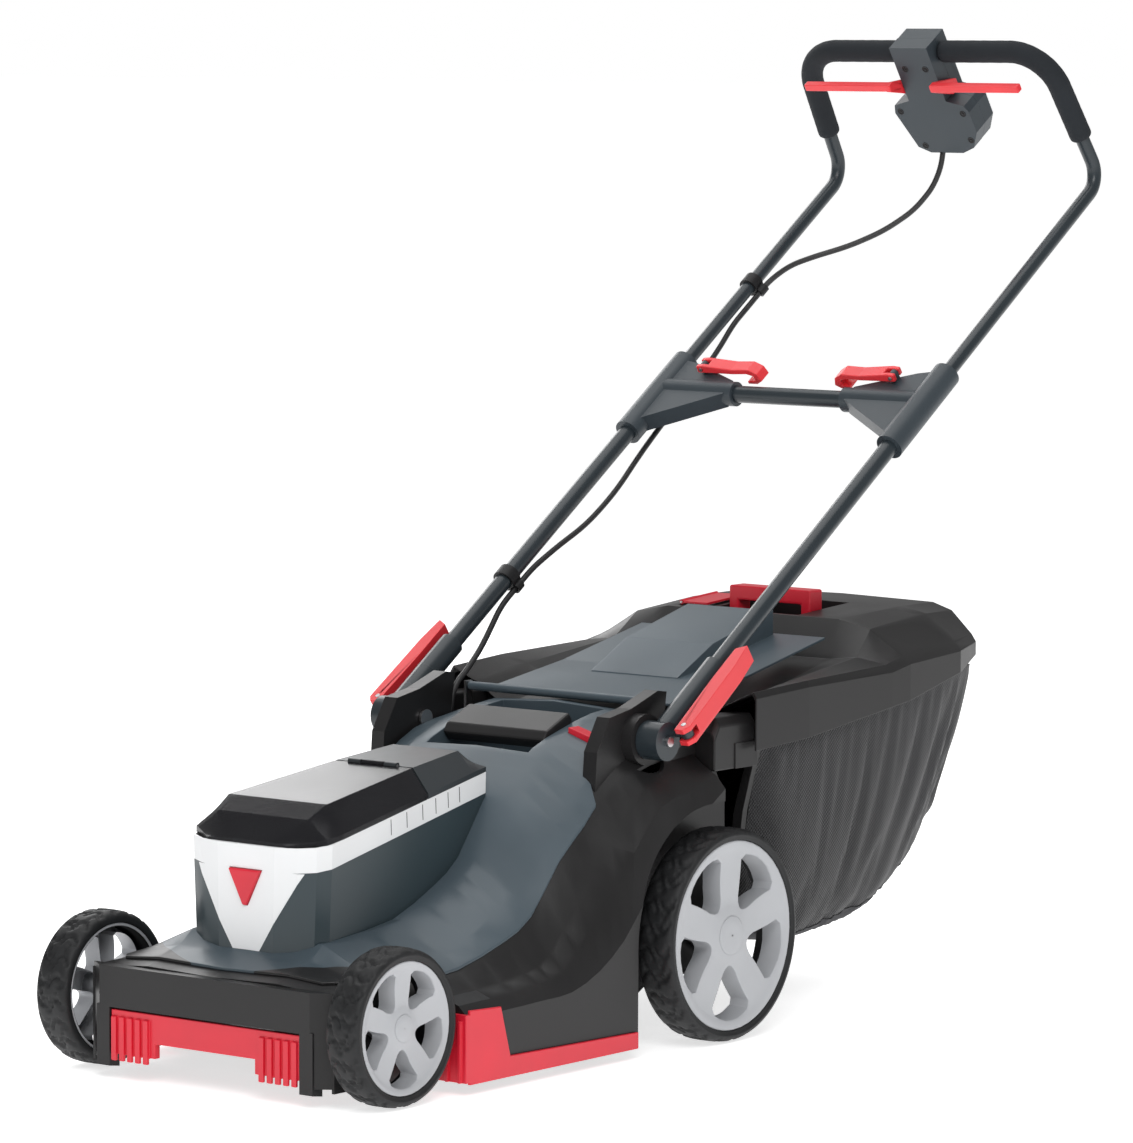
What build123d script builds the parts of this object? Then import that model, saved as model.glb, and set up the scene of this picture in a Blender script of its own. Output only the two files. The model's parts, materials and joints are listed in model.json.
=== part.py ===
from build123d import *
import math
import os

# Battery push lawn mower with a grass bag. Millimetres, +Z up, the mower drives towards -Y,
# +X is the operator's left. Everything is drawn with y measured from the front axle and moved
# once, when it is written, so that the origin lies on the ground under the middle of the mower.

# ------------------------------------------------------------------ driving dimensions
wheelbase = 474.5
front_wheel_radius = 74.0
front_wheel_width = 38.0
rear_wheel_radius = 105.0
rear_wheel_width = 42.0
tyre_depth = 11.5               # rubber outside the rim
rim_wall = 3.5
hub_radius = 16.0
spoke_count = 5
axle_radius = 6.0
running_gap = 0.05              # radial gap of every pin in its bore
cut_height_travel = 50.0
crank_radius = 45.0
crank_thickness = 6.0
crank_gap = 2.0                 # crank to chassis wall
front_hub_gap = 3.5             # crank to wheel
rear_hub_gap = 8.5
rod_arm = 46.0                  # arm on each crank axle that carries the height rod
rod_x = 128.0
rod_radius = 3.0

wall = 3.0
nose_half_width = 150.0
skirt_half_width = 200.0
tail_half_width = 160.0
cover_half_width = 150.0
cover_neck_half_width = 122.0   # beside the handle mounts
cover_thickness = 3.0
skirt_bottom = 14.0
bumper_front = 57.0             # bumper face ahead of the front axle
skirt_start = 86.0
arch_gap = 25.0                 # rear wheel arch outside the tyre
tail_end = 60.0                 # chassis end behind the rear axle
tail_bottom = 62.0

blade_radius = 167.0
blade_width = 46.0
blade_thickness = 3.0
blade_bottom = 31.0
blade_y = 222.0
chamber_gap = 6.0               # blade tip to chamber wall
chamber_top = 80.0
motor_radius = 48.0
motor_height = 68.0
shaft_radius = 7.0

hood_front = 3.0
hood_half_width = 84.0
hood_split = 187.5
hood_end = 288.0
rim_front_z = 226.0
rim_slope = 0.159
lid_rise = 31.0                 # lid top over the rim
shell = 2.5                     # thin covers
split_gap = 1.2
button_gap = 0.4

pivot_behind = -59.5            # handle pivot, from the rear axle
pivot_z = 298.0
handle_angle = 34.52
lower_tube_radius = 9.1
tube_wall = 1.3
telescope_gap = 0.3
handle_half_width = 168.0
sleeve_wall = 3.4
sleeve_end = 114.0              # distances along the handle from its pivot
lower_tube_start = 24.0
lower_tube_end = 500.0
bracket_start = 467.0
bracket_end = 590.0
crossbar_at = 540.0
crossbar_radius = 9.0
bend_at = 933.8
upper_tube_start = 350.0
grip_lean = 124.0               # grip direction in side view, from +Y
grip_length = 163.3
grip_half_width = 157.0
bend_radius = 26.0
corner_radius = 48.0
foam_radius = 12.0
foam_start = 55.0               # foam end, from the lower bend
pivot_bolt_radius = 5.0
bolt_head_height = 3.0
drum_radius = 25.0
drum_thickness = 13.0
part_gap = 0.5                  # between faces that turn past each other

bag_front = 88.0                # bag mouth behind the rear axle
bag_length = 392.0
bag_half_width = 195.0
bag_skin = 2.5

cable_radius = 3.0

# ------------------------------------------------------------------ derived sizes
upper_tube_radius = lower_tube_radius - tube_wall - telescope_gap
pivot_y = wheelbase + pivot_behind
swing_half = math.degrees(math.asin(cut_height_travel / 2 / crank_radius))
crank_reach = crank_radius * math.cos(math.radians(swing_half))
front_crank = (crank_reach, front_wheel_radius - cut_height_travel / 2)
rear_crank = (wheelbase + crank_reach, rear_wheel_radius - cut_height_travel / 2)
front_arm_x = nose_half_width + crank_gap
rear_arm_x = tail_half_width + crank_gap
front_wheel_inner = front_arm_x + crank_thickness + front_hub_gap
rear_wheel_inner = rear_arm_x + crank_thickness + rear_hub_gap
chamber_radius = blade_radius + chamber_gap
bag_y = wheelbase + bag_front
sleeve_radius = lower_tube_radius + sleeve_wall
sleeve_inner_x = handle_half_width - sleeve_radius
sleeve_outer_x = handle_half_width + sleeve_radius

slope = math.radians(handle_angle)
lean = math.radians(grip_lean)
bend_y = pivot_y + bend_at * math.cos(slope)
bend_z = pivot_z + bend_at * math.sin(slope)
bar_y = bend_y + grip_length * math.cos(lean)
bar_z = bend_z + grip_length * math.sin(lean)
turn = lean - slope
bend_centre_y = bend_y + bend_radius / math.cos(turn / 2) * math.cos((slope + lean) / 2 + math.pi / 2)
rear_end = bend_centre_y + bend_radius + upper_tube_radius
origin_y = (rear_end - front_wheel_radius) / 2

# the handle's own frame: x across, y along the tubes from the pivot, z square to them
handle_frame = Plane(origin=(0, pivot_y, pivot_z), x_dir=(1, 0, 0),
                     z_dir=(0, -math.sin(slope), math.cos(slope)))
# the grips' own frame: x across, y up along the grips from the top bar, z to the front
grip_frame = Plane(origin=(0, bar_y, bar_z), x_dir=(1, 0, 0),
                   z_dir=(0, -math.sin(lean), math.cos(lean)))


# ------------------------------------------------------------------ helpers
def block(x0, x1, y0, y1, z0, z1):
    return Pos((x0 + x1) / 2, (y0 + y1) / 2, (z0 + z1) / 2) * Box(x1 - x0, y1 - y0, z1 - z0)


def rod(start, end, radius):
    a = Vector(*start)
    b = Vector(*end)
    return Solid.make_cylinder(radius, (b - a).length, Plane(origin=a, z_dir=b - a))


def side_prism(outline, x0, x1):
    face = Face(Wire.make_polygon([(x0, y, z) for y, z in outline]))
    return Solid.extrude(face, Vector(x1 - x0, 0, 0))


def plan_prism(outline, z0, z1):
    face = Face(Wire.make_polygon([(x, y, z0) for x, y in outline]))
    return Solid.extrude(face, Vector(0, 0, z1 - z0))


def front_prism(outline, y0, y1):
    face = Face(Wire.make_polygon([(x, y0, z) for x, z in outline]))
    return Solid.extrude(face, Vector(0, y1 - y0, 0))


def section(y, half_outline):
    left = [(x, y, z) for x, z in half_outline]
    right = [(-x, y, z) for x, z in reversed(half_outline) if x > 0]
    return Wire.make_polygon(left + right)


def hull(stations):
    return Solid.make_loft([section(y, outline) for y, outline in stations], ruled=True)


def mirrored(shape):
    return mirror(shape, about=Plane.YZ)


def both_sides(shape):
    return [shape, mirrored(shape)]


def lerp(a, b, t):
    return a + (b - a) * t


parts = {}


def keep(name, *shapes):
    solids = []
    for shape in shapes:
        solids += shape.solids()
    parts[name] = solids


# ------------------------------------------------------------------ chassis and top cover
ra = wheelbase
# body stations: y, then heights over the middle, the hood's flank, the cover's shoulder and
# edge, and the fender's slope, ridge and side
body = [
    (skirt_start, 140, 142, 117, 105, 92, 86, 76),
    (0.28 * ra, 145, 147, 119, 109, 93, 87, 76),
    (0.43 * ra, 172, 172, 147, 128, 100, 91, 78),
    (0.51 * ra, 195, 193, 164, 146, 114, 98, 80),
    (0.60 * ra, 248, 243, 210, 194, 158, 132, 95),
    (0.68 * ra, 275, 270, 240, 224, 194, 166, 120),
    (0.74 * ra, 291, 289, 264, 250, 224, 200, 150),
    (0.83 * ra, 305, 303, 288, 276, 258, 240, 190),
    (0.93 * ra, 317, 314, 296, 285, 268, 252, 225),
    (ra + 8, 323, 318, 300, 288, 272, 262, 250),
]
nose = [
    (-bumper_front + 12, 110, 112, 108, 105),
    (-30, 114, 116, 112, 107),
    (0, 125, 124, 114, 107),
    (20, 138, 138, 116, 107),
    (skirt_start, 140, 142, 117, 105),
]


def with_midpoints(rows, first, last):
    """The stations with one more in each gap from first to last, on a smooth curve through them."""
    def slope_at(i, k):
        a = rows[max(i - 1, 0)]
        b = rows[min(i + 1, len(rows) - 1)]
        return (b[k] - a[k]) / (b[0] - a[0])

    out = []
    for i, row in enumerate(rows):
        out.append(row)
        if first <= i < last:
            after = rows[i + 1]
            gap = after[0] - row[0]
            middle = [(row[0] + after[0]) / 2]
            for k in range(1, len(row)):
                bow = (slope_at(i, k) - slope_at(i + 1, k)) * gap / 8
                middle.append((row[k] + after[k]) / 2 + bow)
            out.append(tuple(middle))
    return out


body = with_midpoints(body, 1, 8)


def body_outline(heights, drop, inset, bottom):
    w = skirt_half_width - inset
    xs = (0, 80, 0.87 * cover_half_width, cover_half_width,
          lerp(cover_half_width, w, 0.44), lerp(cover_half_width, w, 0.78), w)
    outline = [(x, z - drop) for x, z in zip(xs, heights)]
    return outline + [(w, bottom), (0, bottom)]


def nose_outline(heights, drop, inset, bottom):
    w = nose_half_width - inset
    xs = (0, 80, 0.87 * w, w)
    outline = [(x, z - drop) for x, z in zip(xs, heights)]
    return outline + [(w, bottom), (0, bottom)]


def body_hull(drop, inset, bottom):
    return hull([(y, body_outline(heights, drop, inset, bottom)) for y, *heights in body])


def nose_hull(drop, inset, bottom):
    return hull([(y, nose_outline(heights, drop, inset, bottom)) for y, *heights in nose])


def cover_hull(drop, bottom):
    w = cover_half_width
    xs = (0, 80, 0.87 * w, w)
    stations = [(y, [(x, z - drop) for x, z in zip(xs, heights)]) for y, *heights in nose[:-1] + body]
    return hull([(y, outline + [(w, bottom), (0, bottom)]) for y, outline in stations])


low = -40.0                                  # below the ground, for open bottoms
deck_skin = cover_thickness                  # the chassis lies this far under the cover's top

main_outer = body_hull(deck_skin, 0, skirt_bottom)
nose_outer = nose_hull(deck_skin, 0, skirt_bottom)
main_inner = body_hull(deck_skin + wall, wall, low)
nose_inner = nose_hull(deck_skin + wall, wall, low)

bumper = plan_prism([(-nose_half_width, -bumper_front + 14), (-0.87 * nose_half_width, -bumper_front),
                     (0.87 * nose_half_width, -bumper_front), (nose_half_width, -bumper_front + 14)],
                    skirt_bottom + 4, 107)
tail = side_prism([(ra - 140, skirt_bottom + 6), (ra - 60, tail_bottom), (ra + tail_end, tail_bottom),
                   (ra + tail_end, 232), (ra + 22, 300), (ra + 6, 300), (ra - 140, 200)],
                  -tail_half_width, tail_half_width)
tail_inner = side_prism([(ra - 150, low), (ra - 60, low), (ra + tail_end + 5, low),
                         (ra + tail_end + 5, 400), (ra - 150, 400)],
                        -tail_half_width + wall, tail_half_width - wall)

arch = Pos(0, ra, rear_wheel_radius) * Rot(0, 90, 0) * Cylinder(rear_wheel_radius + arch_gap, 500)
behind_skirt = block(-300, 300, ra - rear_wheel_radius - arch_gap, ra + 200, low, rear_wheel_radius)
wheel_space = (arch + behind_skirt) - block(-tail_half_width, tail_half_width, 0, ra + 300, low, 500)

deck = main_outer + nose_outer + bumper
inner = main_inner + nose_inner
# the front wall of the skirt beside each front wheel stays
step_walls = block(nose_half_width - wall, skirt_half_width - wall, skirt_start, skirt_start + wall,
        low, 400)
inner = inner - step_walls - mirrored(step_walls)
# the top stays as a ledge round the edge; the cover closes it
top_hole = block(-nose_half_width + 22, nose_half_width - 22, 0, ra - 4, 60, 400)
deck = deck - inner - top_hole
deck = deck - wheel_space
deck = deck + (tail - tail_inner)

# pockets behind the bumper face for the comb, and its two legs
comb_pocket = block(-118, 118, -bumper_front - 1, -bumper_front + 16, 0, 68)
deck = deck - comb_pocket
legs = [side_prism([(-bumper_front, 12), (-bumper_front + 14, 10), (-bumper_front + 14, 70),
        (-bumper_front, 70)],
                   118, 134)]
deck = deck + legs[0] + mirrored(legs[0])

# crank bearings: webs across the nose and the tail
front_web = block(60, 66, -25, front_crank[0] + 8, front_crank[1] - 12, 160) & nose_outer
rear_web = block(tail_half_width - wall, tail_half_width, rear_crank[0] - 12, rear_crank[0] + 12,
                 tail_bottom - 6, tail_bottom + 8)
deck = deck + front_web + mirrored(front_web) + rear_web + mirrored(rear_web)
for centre in (front_crank, rear_crank):
    bore = rod((-300, *centre), (300, *centre), axle_radius + running_gap)
    deck = deck - bore

# cover
cover_bottom = 90.0
cover_solid = cover_hull(0, cover_bottom)
under_cover = cover_hull(cover_thickness, low)
cover_plan = plan_prism([(-122, -30), (122, -30), (cover_half_width - 8, -6),
                         (cover_half_width, skirt_start), (cover_half_width, 0.72 * ra),
                         (cover_neck_half_width, 0.76 * ra), (cover_neck_half_width, ra - 4),
                         (-cover_neck_half_width, ra - 4), (-cover_neck_half_width, 0.76 * ra),
                         (-cover_half_width, 0.72 * ra), (-cover_half_width, skirt_start),
                         (-cover_half_width + 8, -6)], 0, 400)
cover = (cover_solid - under_cover) & cover_plan

pocket_front = ra - 130
pocket_back = ra - 10
pocket_half = 64.0
pocket_floor = 254.0
grip_front = ra - 106
grip_back = ra - 60
pocket_box = block(-pocket_half - wall, pocket_half + wall, pocket_front - wall, pocket_back + wall,
                   pocket_floor - wall, 400)
pocket_space = block(-pocket_half, pocket_half, pocket_front, pocket_back, pocket_floor, 400)
cover = cover + (pocket_box & under_cover)
cover = cover - pocket_space

grip_outline = [(grip_front, 294), (grip_front + 6, 303), (grip_back - 6, 318), (grip_back, 310),
                (grip_back - 8, 300), (grip_front + 8, 285)]
carry_bar = side_prism(grip_outline, -pocket_half, pocket_half)
keep("carry_handle", carry_bar)

height_at = (94.0, ra - 78, 300.0)
height_button = front_prism([(height_at[0] - 16, 284), (height_at[0] + 16, 284), (height_at[0] + 16, 298),
                             (height_at[0] - 16, 307)], height_at[1] - 8, height_at[1] + 8)
height_well = block(height_at[0] - 16 - button_gap, height_at[0] + 16 + button_gap,
                    height_at[1] - 8 - button_gap, height_at[1] + 8 + button_gap, 200, 400)
cover = cover - height_well
keep("height_button", height_button)

# ------------------------------------------------------------------ battery hood on the cover
def rim_z(y):
    return rim_front_z + rim_slope * (y - hood_front)


def hood_width(y):
    if y <= 30:
        return hood_half_width
    return lerp(hood_half_width, 0.68 * hood_half_width, (y - 30) / (hood_end - 30))


front_steps = ((hood_front, 0.42), (hood_front + 5, 0.72), (hood_front + 13, 0.92), (hood_front + 27, 1.0))


def housing_hull(inset, bottom):
    stations = []
    for y, share in front_steps + ((hood_split, 1), (hood_end, 1)):
        y = min(max(y, hood_front + inset), hood_end - inset)
        w = hood_width(y) * share - inset
        stations.append((y, [(0, rim_z(y)), (w, rim_z(y)), (0.94 * w, bottom), (0, bottom)]))
    return hull(stations)


def top_hull(y0, y1, inset, drop):
    marks = [(hood_front + 3, 0.6, 0.35, 0.12), (hood_front + 22, 0.97, 0.68, 0.72), (48, 1.0, 0.74, 1.0),
             (hood_split, 1.0, 0.71, 0.92), (265, 1.0, 0.68, 0.80), (hood_end, 1.0, 0.66, 0.25)]
    stations = []
    for y, share, top_share, rise in marks:
        if y0 <= y <= y1:
            stations.append((y, share, top_share, rise))
    if stations[0][0] > y0:
        stations.insert(0, (y0, 1.0, 0.71, 0.92))
    if stations[-1][0] < y1:
        stations.append((y1, 1.0, 0.71, 0.92))
    out = []
    for y, share, top_share, rise in stations:
        at = min(max(y, y0 + inset), y1 - inset)
        w = hood_width(y) * share - inset
        t = hood_width(y) * top_share - inset
        z = rim_z(y)
        base = z if inset == 0 else z - 5
        out.append((at, [(0, z + lid_rise * rise - drop), (t, z + lid_rise * rise - drop),
                         (w, z + min(5, lid_rise * rise * 0.6) - drop * 0.5), (w, base), (0, base)]))
    return hull(out)


housing_outer = housing_hull(0, 120)
housing_inner = housing_hull(wall, 60)
housing_shell = (housing_outer - housing_inner) - cover_solid
belt_height = 24.0
belt = side_prism([(hood_front - 5, rim_z(0) - belt_height), (hood_end + 5,
        rim_z(hood_end) - belt_height + 4),
                   (hood_end + 5, 300), (hood_front - 5, 300)], -120, 120)
front_vee = front_prism([(-66, rim_front_z - belt_height + 1), (-12, 120), (12, 120), (66,
        rim_front_z - belt_height + 1)],
                        hood_front - 5, hood_front + 25)
trim_zone = belt + front_vee
trim = housing_shell & trim_zone
housing = housing_shell - trim_zone
# the battery stands on a tray that joins the hood's side walls
tray = block(-120, 120, 40, 182, 160, 163) & housing_inner
housing = housing + (tray - cover_solid)


def button_outline(grow):
    return [(-20 - grow, 203 + grow), (20 + grow, 203 + grow), (2 + grow, 169 - grow), (-2 - grow,
            169 - grow)]


button_hole = front_prism(button_outline(button_gap), hood_front - 10, hood_front + 20)
trim = trim - button_hole
housing = housing - button_hole
latch = front_prism(button_outline(0), hood_front - 3, hood_front + 12)
keep("hood_latch_button", latch)
keep("battery_trim", trim)
keep("battery_housing", housing)

lid = top_hull(hood_front + 3, hood_split - split_gap, 0, 0) - top_hull(hood_front + 3,
        hood_split - split_gap, shell, shell)
rear_cover = top_hull(hood_split + split_gap, hood_end, 0, 0) - top_hull(hood_split + split_gap,
        hood_end, shell, shell)
lid_hinge_z = rim_z(hood_split) + lid_rise * 0.92 + 0.6
pin_radius = 1.4
knuckle_radius = 3.0
lid_pin = rod((-30, hood_split, lid_hinge_z), (30, hood_split, lid_hinge_z), pin_radius)
lid_knuckle = rod((-14, hood_split, lid_hinge_z), (14, hood_split, lid_hinge_z), knuckle_radius)
knuckle_room = rod((-14 - part_gap, hood_split, lid_hinge_z), (14 + part_gap, hood_split, lid_hinge_z),
        knuckle_radius + part_gap)
fixed_knuckle = rod((15, hood_split, lid_hinge_z), (30, hood_split, lid_hinge_z), knuckle_radius)
fixed_room = rod((15 - part_gap, hood_split, lid_hinge_z), (30 + part_gap, hood_split, lid_hinge_z),
        knuckle_radius + part_gap)
pin_bore = rod((-40, hood_split, lid_hinge_z), (40, hood_split, lid_hinge_z), pin_radius + running_gap)
lid = lid - fixed_room - mirrored(fixed_room) + lid_knuckle - pin_bore
rear_cover = rear_cover - knuckle_room + fixed_knuckle + mirrored(fixed_knuckle) - pin_bore
keep("hood_lid", lid)
keep("hood_rear_cover", rear_cover)

battery = block(-40, 40, 58, 176, 163, 250)
keep("battery_pack", battery)
keep("safety_key", block(46, 56, 100, 130, 163, 236))
keep("controller", block(-30, 30, 196, 244, 165, 248) - cover_solid)
cover = cover - block(-50, 50, 60, 170, 100, 400)
keep("top_cover", cover)

# ------------------------------------------------------------------ handle mounts on the chassis
mount_inner_x = sleeve_inner_x - part_gap - drum_thickness - 16
horn = side_prism([(pivot_y - 66, 240), (pivot_y - 62, pivot_z - 8), (pivot_y - 42, pivot_z + 24),
                   (pivot_y - 8, pivot_z + 30), (pivot_y + 34, pivot_z + 44), (pivot_y + 48, pivot_z + 42),
                   (pivot_y + 42, pivot_z), (pivot_y + 40, 240)],
                  mount_inner_x, mount_inner_x + 16)
drum = rod((mount_inner_x + 16, pivot_y, pivot_z), (mount_inner_x + 16 + drum_thickness, pivot_y,
        pivot_z), drum_radius)
mount_shape = horn + drum
bolt_bore = rod((0, pivot_y, pivot_z), (300, pivot_y, pivot_z), pivot_bolt_radius)
mount_shape = mount_shape - bolt_bore - main_outer - cover
pivot_bolt = rod((mount_inner_x - bolt_head_height - part_gap, pivot_y, pivot_z), (sleeve_outer_x + 3.5,
        pivot_y, pivot_z), pivot_bolt_radius)
bolt_head = rod((mount_inner_x - bolt_head_height - part_gap, pivot_y, pivot_z),
        (mount_inner_x - part_gap, pivot_y, pivot_z), 9)
bolt = pivot_bolt + bolt_head
# the fender and ledge make room round the bolt and the mount
keep("handle_mounts", *both_sides(mount_shape))
keep("pivot_bolts", *both_sides(bolt))
turning_room = rod((sleeve_inner_x - part_gap, pivot_y, pivot_z), (skirt_half_width + 20, pivot_y,
        pivot_z), 32)
deck = deck - bolt_bore - mirrored(bolt_bore) - turning_room - mirrored(turning_room)

# ------------------------------------------------------------------ combs
comb = block(-117, 117, -bumper_front + 2, -bumper_front + 9, 24, 66)
for side in (1, -1):
    for i in range(5):
        x = side * (72 + i * 10)
        comb = comb + block(x - 3, x + 3, -bumper_front - 1, -bumper_front + 2, 18, 60)
comb = comb - block(-62, 62, -bumper_front, -bumper_front + 12, 0, 38)

comb_depth = 6.0
comb_face = skirt_start - comb_depth
side_comb = block(nose_half_width + 10, skirt_half_width + 3, comb_face, skirt_start - 0.01, 12, 76)
for i in range(3):
    x = nose_half_width + 16 + 15 * i
    side_comb = side_comb + block(x - 2, x + 2, comb_face - 2.5, comb_face, 12, 70)
strip = side_prism([(skirt_start - 0.01, 10), (ra - 133, 10), (ra - 133, 26), (skirt_start + 60, 30),
                    (skirt_start + 46, 78), (skirt_start - 0.01,
                            80)], skirt_half_width + 0.01, skirt_half_width + 3)
side_comb = side_comb + strip
keep("grass_combs", comb, *both_sides(side_comb))

# ------------------------------------------------------------------ blade chamber, chute, motor, blade
ceiling = Pos(0, blade_y, chamber_top - wall / 2) * Cylinder(chamber_radius + wall, wall)
ring = Pos(0, blade_y, (chamber_top + skirt_bottom + 6) / 2) * (
    Cylinder(chamber_radius + wall, chamber_top - skirt_bottom - 6)
    - Cylinder(chamber_radius, chamber_top - skirt_bottom - 6))
chute_half = 96.0
chamber = ceiling + ring
chamber = chamber - block(-chute_half, chute_half, blade_y + 120, blade_y + 260, low, chamber_top - wall)
chamber = chamber - rod((0, blade_y, 0), (0, blade_y, 200), shaft_radius + 1.0)
for y in (blade_y - 120, blade_y + 80):
    for x in (-90, 90):
        chamber = chamber + block(x - 5, x + 5, y - 5, y + 5, chamber_top, chamber_top + 2)
chute_front = blade_y + chamber_radius + wall + 0.3


def chute_hull(inset):
    marks = [(chute_front, skirt_bottom + 12, chamber_top, chute_half),
             (ra - 20, 72, 200, chute_half),
             (ra + tail_end - 6, 112, 226, chute_half + 20)]
    return hull([(y + (inset if i == 2 else -inset if i == 0 else 0),
                  [(0, top - inset), (w - inset, top - inset), (w - inset, bottom + inset), (0,
                          bottom + inset)])
                 for i, (y, bottom, top, w) in enumerate(marks)])


chute = chute_hull(0) - chute_hull(wall)
keep("blade_chamber", chamber)
keep("discharge_chute", chute)

motor_bottom = chamber_top
motor = Pos(0, blade_y, motor_bottom + motor_height / 2) * Cylinder(motor_radius, motor_height)
motor = motor - rod((0, blade_y, 0), (0, blade_y, motor_bottom + 46), shaft_radius + running_gap)
keep("motor_body", motor)
shaft = rod((0, blade_y, blade_bottom + blade_thickness), (0, blade_y, motor_bottom + 44), shaft_radius)
keep("motor_shaft", shaft)
carrier = rod((0, blade_y, blade_bottom + blade_thickness), (0, blade_y, chamber_top - 12), 19)
fan = rod((0, blade_y, chamber_top - 26), (0, blade_y, chamber_top - 23), 58)
fan_blade = block(20, 56, blade_y - 1.5, blade_y + 1.5, chamber_top - 23, chamber_top - 8)
carrier = carrier + fan
for i in range(8):
    carrier = carrier + Pos(0, blade_y, 0) * Rot(0, 0, 45 * i) * Pos(0, -blade_y, 0) * fan_blade
carrier = carrier - shaft
keep("blade_carrier", carrier)
tip = 0.93 * blade_radius
blade = plan_prism([(-tip, blade_y - blade_width / 2), (tip, blade_y - blade_width / 2 + 8),
                    (tip, blade_y + blade_width / 2), (-tip, blade_y + blade_width / 2 - 8)],
                   blade_bottom, blade_bottom + blade_thickness)
bolt_radius = 5.0
blade = blade - rod((0, blade_y, 0), (0, blade_y, 100), bolt_radius)
lift_tab = side_prism([(blade_y + 6, blade_bottom + blade_thickness), (blade_y + 10,
        blade_bottom + blade_thickness),
                       (blade_y + 22, blade_bottom + 14), (blade_y + 19,
                               blade_bottom + 15)], tip - 60, tip - 6)
lift_far = Pos(0, blade_y, 0) * Rot(0, 0, 180) * Pos(0, -blade_y, 0) * lift_tab
keep("cutting_blade", blade + lift_tab + lift_far)
hex_head = Pos(0, blade_y, blade_bottom - 4) * extrude(RegularPolygon(10, 6), 4)
blade_bolt = hex_head + rod((0, blade_y, blade_bottom), (0, blade_y, blade_bottom + blade_thickness),
        bolt_radius)
keep("blade_bolt", blade_bolt)

# ------------------------------------------------------------------ wheels on their crank axles
def wheel(radius, width, inner_x, y, name, side):
    rim_radius = radius - tyre_depth
    at = Pos(inner_x + width / 2, y, radius) * Rot(0, 90, 0)
    edge = 5.0
    tyre = Cylinder(radius, width) - Cylinder(rim_radius, width + 2)
    tyre = chamfer(tyre.edges().filter_by(GeomType.CIRCLE).sort_by(lambda e: -e.radius)[:2], edge)
    rim = Cylinder(rim_radius, width - 4) - Cylinder(rim_radius - rim_wall, width)
    dish = Pos(0, 0, width / 2 - 14) * Cylinder(rim_radius - 0.5, 5)
    slot = Pos(0.62 * rim_radius, 0, width / 2 - 14) * Box(0.42 * rim_radius, 0.36 * rim_radius, 8)
    for i in range(spoke_count):
        dish = dish - Rot(0, 0, 360 / spoke_count * (i + 0.5)) * slot
    hub = Cylinder(hub_radius, width - 6)
    rim = rim + dish + hub - Cylinder(axle_radius + running_gap, width + 2)
    cap = Pos(0, 0, width / 2 - 3 + 1) * Cylinder(0.8 * hub_radius, 2)
    rim = rim + cap
    shapes = {"tyre_" + name: at * tyre, "rim_" + name: at * rim}
    for key, shape in shapes.items():
        keep(key, shape if side > 0 else mirrored(shape))


for side, word in ((1, "left"), (-1, "right")):
    wheel(front_wheel_radius, front_wheel_width, front_wheel_inner, 0, "front_" + word, side)
    wheel(rear_wheel_radius, rear_wheel_width, rear_wheel_inner, wheelbase, "rear_" + word, side)


def crank_axle(centre, wheel_centre, arm_x, wheel_inner, width):
    y, z = centre
    wy, wz = wheel_centre
    bar = rod((-arm_x - crank_thickness, y, z), (arm_x + crank_thickness, y, z), axle_radius)
    dy = wy - y
    dz = wz - z
    length = math.hypot(dy, dz)
    ny = -dz / length * 9
    nz = dy / length * 9
    arm = side_prism([(y + ny, z + nz), (wy + ny, wz + nz), (wy - ny, wz - nz), (y - ny, z - nz)],
                     arm_x, arm_x + crank_thickness)
    stub = rod((arm_x, wy, wz), (wheel_inner + width - 5, wy, wz), axle_radius)
    side = arm + stub
    # the rod's arm stands square to the middle of the swing
    tilt = math.radians(90 - swing_half)
    top = (y + rod_arm * math.cos(tilt), z + rod_arm * math.sin(tilt))
    hub = rod((rod_x - 12, y, z), (rod_x - 6, y, z), 11)
    lever = side_prism([(y - 5, z), (y + 5, z), (top[0] + 4, top[1] + 2), (top[0] - 4, top[1] + 2)],
                       rod_x - 12, rod_x - 6)
    pin = rod((rod_x - 12, *top), (rod_x + 5, *top), 2.5)
    return bar + side + mirrored(side) + hub + lever + pin, top


front_axle, front_top = crank_axle(front_crank, (0, front_wheel_radius), front_arm_x,
                                   front_wheel_inner, front_wheel_width)
rear_axle, rear_top = crank_axle(rear_crank, (wheelbase, rear_wheel_radius), rear_arm_x,
                                 rear_wheel_inner, rear_wheel_width)
keep("front_crank_axle", front_axle)
keep("rear_crank_axle", rear_axle)
link = rod((rod_x, *front_top), (rod_x, *rear_top), rod_radius)
for top in (front_top, rear_top):
    link = link + rod((rod_x - 4, *top), (rod_x + 4, *top), 6)
link = link - rod((rod_x - 20, *front_top), (rod_x + 20, *front_top), 2.5 + running_gap)
link = link - rod((rod_x - 20, *rear_top), (rod_x + 20, *rear_top), 3.2)
keep("height_rod", link)
keep("deck_housing", deck)

# ------------------------------------------------------------------ rear flap
flap_hinge = (ra + 3, 326.0)
flap_half = 118.0
flap_line = [(0, 0), (30, -4), (150, 14), (283, 42)]
flap_outline = [(flap_hinge[0] + y, flap_hinge[1] + z) for y, z in flap_line]
flap_under = [(y, z - shell) for y, z in reversed(flap_outline)]
flap = side_prism(flap_outline + flap_under, -flap_half, flap_half)
ridge_start = ra + 120
ridge_half = 55.0
ridge_line = [(ridge_start, 336), (ridge_start + 60, 366), (ra + 282, 392)]
ridge = side_prism(ridge_line + [(ra + 282, 300), (ridge_start, 300)], -ridge_half, ridge_half)
ridge_room = side_prism([(ridge_start + shell, 336 - shell), (ridge_start + 60, 366 - shell), (ra + 290,
        392 - shell),
                         (ra + 290, 280), (ridge_start + shell,
                                 280)], -ridge_half + shell, ridge_half - shell)
above_flap = side_prism(flap_outline + [(flap_outline[-1][0], 500), (flap_outline[0][0], 500)], -200, 200)
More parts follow.
